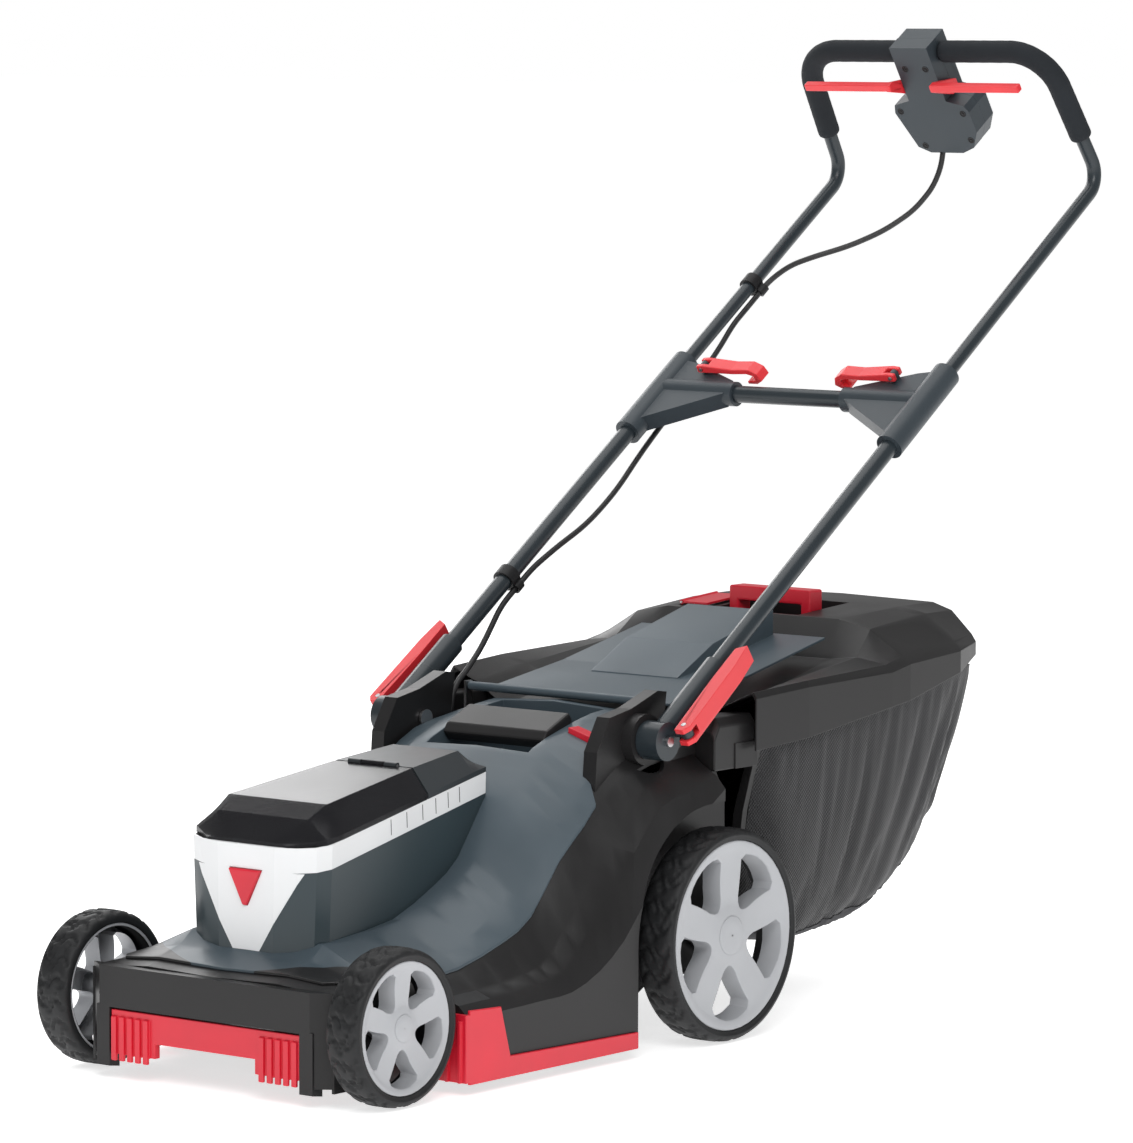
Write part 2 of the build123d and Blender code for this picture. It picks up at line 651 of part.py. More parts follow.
flap = (flap - ridge_room) + ((ridge - ridge_room) & above_flap)
flap_barrel = rod((-flap_half, *flap_hinge), (flap_half, *flap_hinge), 4.5)
flap_pin = rod((-cover_neck_half_width - 2, *flap_hinge), (cover_neck_half_width + 2, *flap_hinge), 2.5)
flap = flap + flap_barrel - rod((-200, *flap_hinge), (200, *flap_hinge), 2.5 + running_gap)
keep("rear_flap", flap)
flap_lug = block(flap_half + 1, flap_half + 4, flap_hinge[0] - 5, flap_hinge[0] + 5, 296, flap_hinge[1] + 5)
flap_hinge_pin = ( flap_pin + flap_lug + mirrored(flap_lug)
                  - block(-flap_half - 5, flap_half + 5, 0, ra - 4, 0, 500) - main_outer)

# ------------------------------------------------------------------ grass bag
bag_end = bag_y + bag_length
bw = bag_half_width


def bag_stations(inset):
    rows = [(bag_y, 288, 0.87 * bw, 215, 0.81 * bw, 122),
            (bag_y + 36, 290, 0.93 * bw, 215, 0.85 * bw, 92),
            (bag_y + 100, 297, 0.95 * bw, 212, 0.86 * bw, 82),
            (bag_y + 240, 314, 0.95 * bw, 210, 0.84 * bw, 92),
            (bag_y + 320, 324, 0.91 * bw, 220, 0.78 * bw, 118),
            (bag_y + 376, 330, 0.84 * bw, 250, 0.70 * bw, 160)]
    tops = (0.965, 0.985, 1.0, 1.0, 0.975, 0.91)
    out = []
    for (y, top, mid_w, mid_z, low_w, low_z), share in zip(rows, tops):
        if y == bag_y or y > bag_y + 350:
            y = y - inset
        out.append((y, [(0, top + (0 if inset == 0 else 1)), (share * bw - inset,
                top + (0 if inset == 0 else 1)),
                        (mid_w - inset, mid_z), (low_w - inset, low_z + inset), (0, low_z - 6 + inset)]))
    return out


bag = hull(bag_stations(0)) - hull(bag_stations(bag_skin))
keep("bag_fabric", bag)
mouth_y = bag_y - 0.2
frame_outer = front_prism([(-0.955 * bw, 287), (0.955 * bw, 287), (0.86 * bw, 215), (0.80 * bw, 124),
        (-0.80 * bw, 124), (-0.86 * bw, 215)],
                          mouth_y - 8, mouth_y)
frame_inner = front_prism([(-0.955 * bw + 12, 276), (0.955 * bw - 12, 276), (0.86 * bw - 11, 215),
        (0.80 * bw - 10, 134),
                           (-0.80 * bw + 10, 134), (-0.86 * bw + 11, 215)], mouth_y - 9, mouth_y + 1)
bag_hook = block(0.78 * bw, 0.95 * bw, ra + 44, mouth_y - 8, 262, 287)
keep("bag_frame", (frame_outer - frame_inner) + bag_hook + mirrored(bag_hook))


def lid_stations(inset, drop):
    rows = [(bag_y - 24, 300, 0.64, 300, 0.82, 322, 0.98, 336, 1.0, 330, 278),
            (bag_y + 60, 315, 0.63, 315, 0.82, 334, 1.0, 341, 1.02, 335, 284),
            (bag_y + 200, 345, 0.63, 346, 0.80, 350, 0.99, 345, 1.03, 338, 302),
            (bag_y + 232, 384, 0.56, 384, 0.77, 376, 0.985, 351, 1.03, 344, 306),
            (bag_y + 330, 391, 0.60, 390, 0.77, 384, 0.955, 357, 1.0, 349, 326),
            (bag_y + bag_length, 392, 0.60, 390, 0.72, 383, 0.85, 360, 0.88, 352, 338)]
    out = []
    for i, (y, z0, a, za, b, zb, c, zc, d, zd, zlow) in enumerate(rows):
        y = y - (inset if i == len(rows) - 1 else 0) - (1 if i == 0 and inset else 0)
        zlow = zlow - (6 if inset else 0)
        out.append((y, [(0, z0 - drop), (a * bw - inset, za - drop), (b * bw - inset, zb - drop),
                        (c * bw - inset, zc - drop), (d * bw - inset, zd - drop), (d * bw - inset,
                                zlow), (0, zlow)]))
    return out


bag_lid = hull(lid_stations(0, 0)) - hull(lid_stations(bag_skin, bag_skin))
recess_half = 56.0
recess = block(-recess_half, recess_half, bag_y + 236, bag_y + 326, 366, 420)
recess_tray = block(-recess_half - 2, recess_half + 2, bag_y + 234, bag_y + 328, 364, 391)
recess_tray = recess_tray & hull(lid_stations(0, 0))
bag_lid = bag_lid + recess_tray - recess
bag_lid = bag_lid - hull(bag_stations(0)) - block(-300, 300, 0, bag_y - 23, 0, 500)
# the fill-level flap turns on a pin along the lid's rear part
level_pitch = math.atan2(7, 98)
level_length = 62.0
level_width = 34.0
level_frame = Plane(origin=(-98, bag_y + 240, 387.6), x_dir=(1, 0, 0),
                    z_dir=(0, -math.sin(level_pitch), math.cos(level_pitch)))
level_pin_radius = 1.2
level_gap = 1.0
level_window = level_frame * block(-4, level_width + level_gap, -level_gap, level_length + level_gap, -8, 8)
bag_lid = bag_lid - level_window
keep("bag_lid", bag_lid)
grip_y = bag_y + 262
bag_grip = block(-52, 52, grip_y, grip_y + 22, 390, 407) - block(-40, 40, grip_y - 1, grip_y + 23, 360, 392)
posts = block(40, 52, grip_y, grip_y + 22, 366, 390)
keep("bag_handle", bag_grip + posts + mirrored(posts))
level_flap = block(0, level_width, 0, level_length, -1.2, 1.2) + rod((0, 0, 0), (0, level_length, 0), 2.6)
level_flap = level_flap - rod((0, -5, 0), (0, level_length + 5, 0), level_pin_radius + running_gap)
keep("level_flap", level_frame * level_flap)
level_pin = level_frame * rod((0, -level_gap, 0), (0, level_length + level_gap, 0), level_pin_radius)

keep("hinge_pins", lid_pin, flap_hinge_pin, level_pin)


# ------------------------------------------------------------------ handle: lower half
def handle_rod(x0, s0, n0, x1, s1, n1, radius):
    return handle_frame * rod((x0, s0, n0), (x1, s1, n1), radius)


hx = handle_half_width
upper_bore = upper_tube_radius + telescope_gap
lower_tube = handle_rod(hx, lower_tube_start, 0, hx, lower_tube_end, 0, lower_tube_radius)
lower_tube = lower_tube - handle_rod(hx, lower_tube_start - 1, 0, hx, lower_tube_end + 1, 0,
        lower_tube_radius - tube_wall)
keep("lower_tubes", *both_sides(lower_tube))

foot = handle_rod(hx, 8, 0, hx, sleeve_end, 0, sleeve_radius)
eye = rod((sleeve_inner_x, pivot_y, pivot_z), (sleeve_outer_x, pivot_y, pivot_z), 19)
lever_x = sleeve_outer_x + 13
lever_s = 16.0
neck = handle_frame * block(sleeve_outer_x - 2, lever_x, lever_s - 4, lever_s + 4, -4, 4)
tongue = handle_rod(lever_x, lever_s, -4, lever_x, lever_s, 4, 6.5)
foot = foot + eye + neck + tongue
foot = foot - handle_rod(hx, lower_tube_start, 0, hx, 400, 0, lower_tube_radius)
foot = foot - rod((0, pivot_y, pivot_z), (sleeve_outer_x + 4, pivot_y, pivot_z),
        pivot_bolt_radius + running_gap)
lever_pin_radius = 2.5
lower_pin = handle_rod(lever_x, lever_s, -10, lever_x, lever_s, 10, lever_pin_radius)
foot = foot - lower_pin
keep("tube_feet", *both_sides(foot))

lever_half = 10.0
lever_outline = [(lever_s - 9, lever_x - 6), (lever_s + 70, sleeve_outer_x + 4), (lever_s + 116,
        sleeve_outer_x + 4),
                 (lever_s + 122, lever_x + 2), (lever_s + 90, lever_x + 6), (lever_s - 2,
                         lever_x + 9), (lever_s - 9, lever_x + 4)]
lever_face = Face(Wire.make_polygon([(x, s, -lever_half) for s, x in lever_outline]))
low_lever = Solid.extrude(lever_face, Vector(0, 0, 2 * lever_half))
fork_slot = Solid.make_cylinder(11.5, 8.8, Plane(origin=(lever_x, lever_s, -4.4), z_dir=(0, 0, 1)))
fork_mouth = block(sleeve_outer_x - 20, lever_x, lever_s - 20, lever_s + 8, -4.4, 4.4)
low_lever = low_lever - fork_slot - fork_mouth
low_lever = handle_frame * low_lever
low_lever = low_lever - handle_rod(lever_x, lever_s, -20, lever_x, lever_s, 20,
        lever_pin_radius + running_gap)
keep("lower_lever_left", low_lever)
keep("lower_lever_right", mirrored(low_lever))

collar_radius = 14.5
bracket = handle_rod(hx, bracket_start, 0, hx, bracket_end, 0, collar_radius)
crossbar_inner = 70.0
cross_collar = handle_rod(crossbar_inner, crossbar_at, 0, hx, crossbar_at, 0, crossbar_radius + 4)
web_face = Face(Wire.make_polygon([(crossbar_inner + 8, crossbar_at - 11, -9), (hx, bracket_start + 8, -9),
                                   (hx, bracket_end - 6, -9), (hx - 26, bracket_end - 12,
                                           -9), (crossbar_inner + 8, crossbar_at + 11, -9)]))
web = handle_frame * Solid.extrude(web_face, Vector(0, 0, 18))
# the upper lever's pin stands over the web, up the slope from the crossbar
top_x = 122.0
top_s = crossbar_at + 26
top_n = 16.0
tongue_half = 3.0
upper_post = handle_frame * block(top_x - 4, top_x + 4, top_s - tongue_half, top_s + tongue_half, 0, top_n)
upper_tongue = handle_rod(top_x, top_s - tongue_half, top_n, top_x, top_s + tongue_half, top_n, 4.2)
bracket = bracket + cross_collar + web + upper_post + upper_tongue
bracket = bracket - handle_rod(hx, 300, 0, hx, lower_tube_end, 0, lower_tube_radius)
bracket = bracket - handle_rod(hx, 300, 0, hx, 700, 0, upper_bore)
bracket = bracket - handle_rod(0, crossbar_at, 0, crossbar_inner + 22, crossbar_at, 0, crossbar_radius)
upper_pin_radius = 2.0
upper_pin = handle_rod(top_x, top_s - 9, top_n, top_x, top_s + 9, top_n, upper_pin_radius)
bracket = bracket - upper_pin
keep("handle_brackets", *both_sides(bracket))
keep("crossbar", handle_rod(-crossbar_inner - 22, crossbar_at, 0, crossbar_inner + 22, crossbar_at, 0,
        crossbar_radius))
keep("lever_pins", *both_sides(lower_pin), *both_sides(upper_pin))

upper_lever_half = 8.0
top_outline = [(top_x + 5, top_n - 4), (top_x + 5, top_n + 4), (top_x - 3, top_n + 5), (top_x - 40,
        top_n + 1.5),
               (top_x - 62, top_n + 2.5), (top_x - 72, top_n - 3), (top_x - 75,
                       top_n - 12), (top_x - 68, top_n - 16),
               (top_x - 56, top_n - 16), (top_x - 56, top_n - 13), (top_x - 66,
                       top_n - 12), (top_x - 66, top_n - 6),
               (top_x - 58, top_n - 3.5), (top_x - 40, top_n - 4.5), (top_x - 8, top_n - 4)]
top_face = Face(Wire.make_polygon([(x, top_s - upper_lever_half, n) for x, n in top_outline]))
high_lever = Solid.extrude(top_face, Vector(0, 2 * upper_lever_half, 0))
tongue_room = tongue_half + 0.4
high_lever = high_lever - block(top_x - 9, top_x + 20, top_s - tongue_room, top_s + tongue_room, 0,
        top_n + 30)
high_lever = handle_frame * high_lever
high_lever = high_lever - handle_rod(top_x, top_s - 30, top_n, top_x, top_s + 30, top_n,
                                     upper_pin_radius + running_gap)
keep("upper_lever_left", high_lever)
keep("upper_lever_right", mirrored(high_lever))

# ------------------------------------------------------------------ handle: upper half
def on_handle(x, s, n=0.0):
    return handle_frame.from_local_coords(Vector(x, s, n))


start = on_handle(hx, upper_tube_start)
low_bend = on_handle(hx, bend_at)
top_corner = Vector(grip_half_width, bar_y, bar_z)
loop = [start, low_bend, top_corner,
        Vector(-top_corner.X, bar_y, bar_z), Vector(-low_bend.X, low_bend.Y,
                low_bend.Z), Vector(-start.X, start.Y, start.Z)]
loop_path = FilletPolyline(*loop, radius=[bend_radius, corner_radius, corner_radius, bend_radius])


def round_sweep(path, radius):
    face = Plane(origin=path @ 0, z_dir=path % 0) * Circle(radius)
    return sweep(face, path=path)


upper_tube = round_sweep(loop_path, upper_tube_radius) - round_sweep(loop_path,
        upper_tube_radius - tube_wall)
keep("upper_tube", upper_tube)
foam_low = low_bend + (top_corner - low_bend).normalized() * foam_start
foam_inner = 26.0
foam_path = FilletPolyline(foam_low, top_corner, Vector(foam_inner, bar_y, bar_z), radius=corner_radius)
foam = round_sweep(foam_path, foam_radius) - round_sweep(foam_path, upper_tube_radius)
keep("foam_grips", *both_sides(foam))

# switch box, in the grips' frame
box_front = 21.0
box_back = -17.0
split = 2.0
neck_half = 24.0
pod_half = 49.0
pod_outline = [(-neck_half, 18), (neck_half, 18), (neck_half, -50), (pod_half - 4, -56), (pod_half, -64),
               (pod_half, -90), (38, -110), (22, -117), (-20, -117), (-34, -110), (-pod_half + 1, -66),
               (-pod_half + 4, -56), (-neck_half, -50)]
pod_face = Face(Wire.make_polygon([(x, v, box_back) for x, v in pod_outline]))
pod = Solid.extrude(pod_face, Vector(0, 0, box_front - box_back))
bar_bore = rod((-200, 0, 0), (200, 0, 0), upper_tube_radius)
bail_v = -40.0
bail_w = 6.0
bail_pin_radius = 4.0
pod = pod - bar_bore - rod((-200, bail_v, bail_w), (200, bail_v, bail_w), bail_pin_radius + running_gap)
inside = block(-36, 34, -100, -58, box_back + 3, box_front - 3)
pod = pod - inside
front_half = pod & block(-100, 100, -200, 100, split, 100)
back_half = pod & block(-100, 100, -200, 100, -100, split)
start_at = (-14.0, -76.0)
start_radius = 9.0
start_well = rod((*start_at, -60), (*start_at, box_back + 3.5), start_radius + button_gap)
back_half = back_half - start_well
start_button = rod((*start_at, box_back - 5), (*start_at, box_back + 5), start_radius)
keep("switch_box_front", grip_frame * front_half)
keep("switch_box_back", grip_frame * back_half)
keep("start_button", grip_frame * start_button)

wing_v = -21.0
wing_w = 38.0
wing_half = 138.0
arm_inner = neck_half + 1.5
arm_outer = neck_half + 7.5
wing = block(arm_inner, wing_half, wing_v - 4, wing_v + 4, wing_w - 5, wing_w + 3)
arm_face = Face(Wire.make_polygon([(arm_inner, bail_v - 6, bail_w - 6), (arm_inner, bail_v + 6, bail_w - 6),
                                   (arm_inner, wing_v + 4, wing_w - 5), (arm_inner, wing_v + 4, wing_w + 3),
                                   (arm_inner, wing_v - 4, wing_w + 3), (arm_inner, bail_v - 6,
                                           bail_w + 7)]))
bail_arm = Solid.extrude(arm_face, Vector(arm_outer - arm_inner, 0, 0))
bail = wing + bail_arm
bail_rod = rod((-arm_inner, bail_v, bail_w), (arm_inner, bail_v, bail_w), bail_pin_radius)
bail = bail + mirrored(bail) + bail_rod
keep("bail_lever", grip_frame * bail)

# ------------------------------------------------------------------ cable and clips
def cable(points):
    runs = [(Vector(*b) - Vector(*a)).length for a, b in zip(points, points[1:])]
    radii = []
    for i in range(1, len(points) - 1):
        before = Vector(*points[i]) - Vector(*points[i - 1])
        after = Vector(*points[i + 1]) - Vector(*points[i])
        angle = math.radians(before.get_angle(after))
        radii.append(0.45 * min(runs[i - 1], runs[i]) / math.tan(angle / 2))
    path = FilletPolyline(*[Vector(*p) for p in points], radius=radii)
    print("cable radii", [round(r) for r in radii], "runs", [round(r) for r in runs], round(path.length))
    return round_sweep(path, cable_radius)


upper_clip_s = 739.0
lower_clip_s = 222.0
upper_hold = (-hx + 8.0, -10.0)
lower_hold = (-hx + 9.0, -11.0)


def along(x, s, n):
    point = on_handle(x, s, n)
    return (point.X, point.Y, point.Z)


cable_exit = grip_frame.from_local_coords(Vector(-6, -112, 14))
upper_clip_ends = (along(-hx + 15, upper_clip_s + 3, -4), along(upper_hold[0], upper_clip_s - 21,
        upper_hold[1]))
upper_meeting = along(upper_hold[0], upper_clip_s - 41, upper_hold[1])
from_switch_box = [(cable_exit.X, cable_exit.Y, cable_exit.Z), (-8, 1142, 838), (-14, 1135, 816), (-28,
        1121, 792),
                   (-52, 1100, 770), (-82, 1076, 753), (-111, 1054, 742), (-134, 1040, 732),
                   *upper_clip_ends, upper_meeting]
past_the_bracket = [upper_meeting, along(upper_hold[0], upper_clip_s - 68, upper_hold[1]),
                    along(-hx + 7, 632, -18), along(-hx + 8, 580, -20.5), along(-hx + 8, 524, -21.5),
                    along(-hx + 9, 462, -24.5), along(-hx + 12, 404, -29), along(-hx + 12, 346, -27),
                    along(-hx + 10, 294, -17), along(lower_hold[0], 252, lower_hold[1]),
                    along(lower_hold[0], lower_clip_s, lower_hold[1])]
to_the_deck = [along(lower_hold[0], lower_clip_s, lower_hold[1]), along(lower_hold[0], 190, lower_hold[1]),
               (-155, 541, 357), (-149, 509, 336), (-142, 486, 327), (-139, 474, 313), (-138.5, 472, 296)]
keep("cable_upper", cable(from_switch_box) - grip_frame * pod)
keep("cable_middle", cable(past_the_bracket))
keep("cable_lower", cable(to_the_deck))


def clip(s, tube_radius, start, end):
    ring = handle_rod(-hx, s - 7, 0, -hx, s + 7, 0, tube_radius + 3)
    tube = handle_rod(-hx, s - 9, 0, -hx, s + 9, 0, tube_radius)
    middle = (Vector(*start) + Vector(*end)) / 2
    way = (Vector(*end) - Vector(*start)).normalized()
    saddle = rod(tuple(middle - way * 5), tuple(middle + way * 5), cable_radius + 2.6)
    hole = rod(tuple(middle - way * 14), tuple(middle + way * 14), cable_radius + 0.7)
    return ring + saddle - tube - hole


keep("cable_clip_upper", clip(upper_clip_s - 9, upper_tube_radius, *upper_clip_ends))
keep("cable_clip_lower", clip(lower_clip_s, lower_tube_radius,
                              along(lower_hold[0], lower_clip_s + 8, lower_hold[1]),
                              along(lower_hold[0], lower_clip_s - 8, lower_hold[1])))

# ------------------------------------------------------------------ files
os.makedirs("parts", exist_ok=True)
for name, shapes in parts.items():
    moved = [Pos(0, -origin_y, 0) * shape for shape in shapes]
    export_step(moved[0] if len(moved) == 1 else Compound(children=moved), "parts/" + name + ".step")
print(len(parts), "nodes")
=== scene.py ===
import json
import math

import bmesh
import bpy
from mathutils import Matrix, Vector

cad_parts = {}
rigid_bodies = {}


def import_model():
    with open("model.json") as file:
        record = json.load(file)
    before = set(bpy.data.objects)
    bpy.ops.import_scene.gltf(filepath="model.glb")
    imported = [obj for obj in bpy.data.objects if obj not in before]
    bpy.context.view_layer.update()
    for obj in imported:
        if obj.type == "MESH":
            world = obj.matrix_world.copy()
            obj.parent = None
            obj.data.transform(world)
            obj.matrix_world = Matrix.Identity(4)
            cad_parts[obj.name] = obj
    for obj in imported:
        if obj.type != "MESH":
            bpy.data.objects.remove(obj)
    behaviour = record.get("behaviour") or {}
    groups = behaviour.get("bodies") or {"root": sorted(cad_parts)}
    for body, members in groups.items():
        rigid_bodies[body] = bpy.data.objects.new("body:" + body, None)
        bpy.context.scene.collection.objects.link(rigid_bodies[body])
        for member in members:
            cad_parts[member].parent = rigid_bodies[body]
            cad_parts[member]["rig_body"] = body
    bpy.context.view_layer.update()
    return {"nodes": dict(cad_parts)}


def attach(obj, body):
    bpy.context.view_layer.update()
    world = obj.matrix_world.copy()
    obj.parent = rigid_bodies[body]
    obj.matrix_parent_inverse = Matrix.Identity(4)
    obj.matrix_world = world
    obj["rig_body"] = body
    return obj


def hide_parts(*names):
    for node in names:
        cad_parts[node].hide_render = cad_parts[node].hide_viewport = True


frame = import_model()
nodes = frame["nodes"]

# ------------------------------------------------------------------ places, in millimetres from the front axle
ORIGIN_Y = 553.961
WHEELBASE = 474.5
LEAN = math.radians(124.0)
HALF_HANDLE = 168.0
BAG_Y = WHEELBASE + 88.0
BAG_HALF = 195.0


def at(x, y, z):
    return Vector((x / 1000, (y - ORIGIN_Y) / 1000, z / 1000))


def body_of_node(node):
    return nodes[node]["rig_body"]


# ------------------------------------------------------------------ camera, light and floor
def make_camera():
    data = bpy.data.cameras.new("camera")
    camera = bpy.data.objects.new("camera", data)
    bpy.context.scene.collection.objects.link(camera)
    azimuth, elevation, roll = math.radians(38.335), math.radians(5.272), math.radians(0.19)
    back = Vector((math.sin(azimuth) * math.cos(elevation), -math.cos(azimuth) * math.cos(elevation),
                   math.sin(elevation)))
    side = Vector((math.cos(azimuth), math.sin(azimuth), 0))
    up = back.cross(side)
    right = math.cos(roll) * side + math.sin(roll) * up
    top = -math.sin(roll) * side + math.cos(roll) * up
    place = at(3572.1, -4033.2, 979.2)
    camera.matrix_world = Matrix(((right.x, top.x, back.x, place.x), (right.y, top.y, back.y, place.y),
                                  (right.z, top.z, back.z, place.z), (0, 0, 0, 1)))
    data.lens = 183.3
    data.sensor_width = 36
    data.clip_end = 200
    bpy.context.scene.camera = camera


def area_light(name, place, target, size, power, tint=(1, 1, 1)):
    data = bpy.data.lights.new(name, "AREA")
    data.shape = "RECTANGLE"
    data.size, data.size_y = size
    data.energy = power
    data.color = tint
    light = bpy.data.objects.new(name, data)
    light.location = place
    light.rotation_mode = "QUATERNION"
    light.rotation_quaternion = (Vector(target) - Vector(place)).to_track_quat("-Z", "Y")
    bpy.context.scene.collection.objects.link(light)


ROOM_LIGHT = 0.36
FLOOR_GLOW = 0.68


def make_studio():
    world = bpy.data.worlds.new("studio")
    bpy.context.scene.world = world
    world.use_nodes = True
    tree = world.node_tree
    background = tree.nodes["Background"]
    background.inputs["Color"].default_value = (1, 1, 1, 1)
    # the object is lit by a dimmer room than the white one behind it
    rays = tree.nodes.new("ShaderNodeLightPath")
    bright = tree.nodes.new("ShaderNodeMapRange")
    bright.inputs["To Min"].default_value = ROOM_LIGHT
    bright.inputs["To Max"].default_value = 1.0
    tree.links.new(rays.outputs["Is Camera Ray"], bright.inputs["Value"])
    tree.links.new(bright.outputs["Result"], background.inputs["Strength"])
    mesh = bpy.data.meshes.new("floor")
    half = 90.0
    mesh.from_pydata([(-half, -half, -0.0008), (half, -half, -0.0008), (half, half, -0.0008), (-half,
            half, -0.0008)],
                     [], [(0, 1, 2, 3)])
    floor = bpy.data.objects.new("floor", mesh)
    bpy.context.scene.collection.objects.link(floor)
    paint = bpy.data.materials.new("floor_paint")
    paint.use_nodes = True
    shader = paint.node_tree.nodes["Principled BSDF"]
    shader.inputs["Base Color"].default_value = (0.93, 0.93, 0.93, 1)
    shader.inputs["Roughness"].default_value = 0.9
    shader.inputs["Emission Color"].default_value = (1, 1, 1, 1)
    shader.inputs["Emission Strength"].default_value = FLOOR_GLOW
    mesh.materials.append(paint)
    area_light("key", (2.6, -3.0, 3.4), (0, 0, 0.3), (2.4, 2.4), 95)
    area_light("top", (-0.6, 0.4, 3.6), (0, 0, 0.3), (3.2, 3.2), 60)
    area_light("rim", (-3.0, 1.6, 2.0), (0, 0, 0.4), (2.0, 2.0), 40)
    bpy.context.scene.view_settings.view_transform = "Standard"


make_camera()
make_studio()


# ------------------------------------------------------------------ materials
def node_of(tree, kind, **settings):
    made = tree.nodes.new(kind)
    for key, value in settings.items():
        setattr(made, key, value)
    return made


def finish(name, color, rough, spread=0.08, blotch=14.0, grain=0.06, grain_scale=1400.0, depth=0.0002,
           rough_spread=0.08, metal=0.0, coat=0.0, coat_rough=0.1, sheen=0.0, specular=0.5):
    """A moulded, painted or rubber surface: soft colour change, fine grain, uneven gloss."""
    made = bpy.data.materials.new(name)
    made.use_nodes = True
    tree = made.node_tree
    shader = tree.nodes["Principled BSDF"]
    place = node_of(tree, "ShaderNodeTexCoord").outputs["Object"]
    wide = node_of(tree, "ShaderNodeTexNoise")
    wide.inputs["Scale"].default_value = blotch
    wide.inputs["Detail"].default_value = 5
    tree.links.new(place, wide.inputs["Vector"])
    ramp = node_of(tree, "ShaderNodeValToRGB")
    ramp.color_ramp.elements[0].position = 0.3
    ramp.color_ramp.elements[1].position = 0.7
    ramp.color_ramp.elements[0].color = (*[c * (1 - spread) for c in color], 1)
    ramp.color_ramp.elements[1].color = (*[min(1, c * (1 + spread)) for c in color], 1)
    tree.links.new(wide.outputs["Fac"], ramp.inputs["Fac"])
    tree.links.new(ramp.outputs["Color"], shader.inputs["Base Color"])
    gloss = node_of(tree, "ShaderNodeMapRange")
    gloss.inputs["To Min"].default_value = max(0.02, rough - rough_spread)
    gloss.inputs["To Max"].default_value = min(1.0, rough + rough_spread)
    tree.links.new(wide.outputs["Fac"], gloss.inputs["Value"])
    tree.links.new(gloss.outputs["Result"], shader.inputs["Roughness"])
    if grain:
        fine = node_of(tree, "ShaderNodeTexNoise")
        fine.inputs["Scale"].default_value = grain_scale
        fine.inputs["Detail"].default_value = 2
        tree.links.new(place, fine.inputs["Vector"])
        bump = node_of(tree, "ShaderNodeBump")
        bump.inputs["Strength"].default_value = grain
        bump.inputs["Distance"].default_value = depth
        tree.links.new(fine.outputs["Fac"], bump.inputs["Height"])
        tree.links.new(bump.outputs["Normal"], shader.inputs["Normal"])
    shader.inputs["Metallic"].default_value = metal
    shader.inputs["Coat Weight"].default_value = coat
    shader.inputs["Coat Roughness"].default_value = coat_rough
    shader.inputs["Sheen Weight"].default_value = sheen
    shader.inputs["Specular IOR Level"].default_value = specular
    return made


def weave(name, color, period, depth, rough, strength):
    """Woven cloth: two sets of threads, one along the cloth and one up it."""
    made = bpy.data.materials.new(name)
    made.use_nodes = True
    tree = made.node_tree
    shader = tree.nodes["Principled BSDF"]
    place = node_of(tree, "ShaderNodeTexCoord").outputs["Object"]
    parts = node_of(tree, "ShaderNodeSeparateXYZ")
    tree.links.new(place, parts.inputs["Vector"])
    along = node_of(tree, "ShaderNodeMath", operation="ADD")
    tree.links.new(parts.outputs["X"], along.inputs[0])
    tree.links.new(parts.outputs["Y"], along.inputs[1])
    waves = []
    for source in (along.outputs[0], parts.outputs["Z"]):
        scaled = node_of(tree, "ShaderNodeMath", operation="MULTIPLY")
        scaled.inputs[1].default_value = 2 * math.pi / period
        tree.links.new(source, scaled.inputs[0])
        wave = node_of(tree, "ShaderNodeMath", operation="SINE")
        tree.links.new(scaled.outputs[0], wave.inputs[0])
        waves.append(wave)
    crossing = node_of(tree, "ShaderNodeMath", operation="MULTIPLY")
    tree.links.new(waves[0].outputs[0], crossing.inputs[0])
    tree.links.new(waves[1].outputs[0], crossing.inputs[1])
    # the weave shows on the front of the bag and fades towards its back
    fade = node_of(tree, "ShaderNodeMapRange")
    fade.inputs["From Min"].default_value = (BAG_Y + 230 - ORIGIN_Y) / 1000
    fade.inputs["From Max"].default_value = (BAG_Y + 40 - ORIGIN_Y) / 1000
    fade.inputs["To Min"].default_value = 0.18
    fade.inputs["To Max"].default_value = 1.0
    tree.links.new(parts.outputs["Y"], fade.inputs["Value"])
    height = node_of(tree, "ShaderNodeMath", operation="MULTIPLY")
    tree.links.new(crossing.outputs[0], height.inputs[0])
    tree.links.new(fade.outputs["Result"], height.inputs[1])
    bump = node_of(tree, "ShaderNodeBump")
    bump.inputs["Strength"].default_value = strength
    bump.inputs["Distance"].default_value = depth
    tree.links.new(height.outputs[0], bump.inputs["Height"])
    tree.links.new(bump.outputs["Normal"], shader.inputs["Normal"])
    wide = node_of(tree, "ShaderNodeTexNoise")
    wide.inputs["Scale"].default_value = 9
    wide.inputs["Detail"].default_value = 6
    tree.links.new(place, wide.inputs["Vector"])
    mixed = node_of(tree, "ShaderNodeMath", operation="MULTIPLY_ADD")
    mixed.inputs[1].default_value = 0.12
    tree.links.new(height.outputs[0], mixed.inputs[0])
    tree.links.new(wide.outputs["Fac"], mixed.inputs[2])
    ramp = node_of(tree, "ShaderNodeValToRGB")
    ramp.color_ramp.elements[0].position = 0.3
    ramp.color_ramp.elements[1].position = 0.75
    ramp.color_ramp.elements[0].color = (*[c * 0.75 for c in color], 1)
    ramp.color_ramp.elements[1].color = (*[c * 1.25 for c in color], 1)
    tree.links.new(mixed.outputs[0], ramp.inputs["Fac"])
    tree.links.new(ramp.outputs["Color"], shader.inputs["Base Color"])
    shader.inputs["Roughness"].default_value = rough
    shader.inputs["Sheen Weight"].default_value = 0.12
    return made


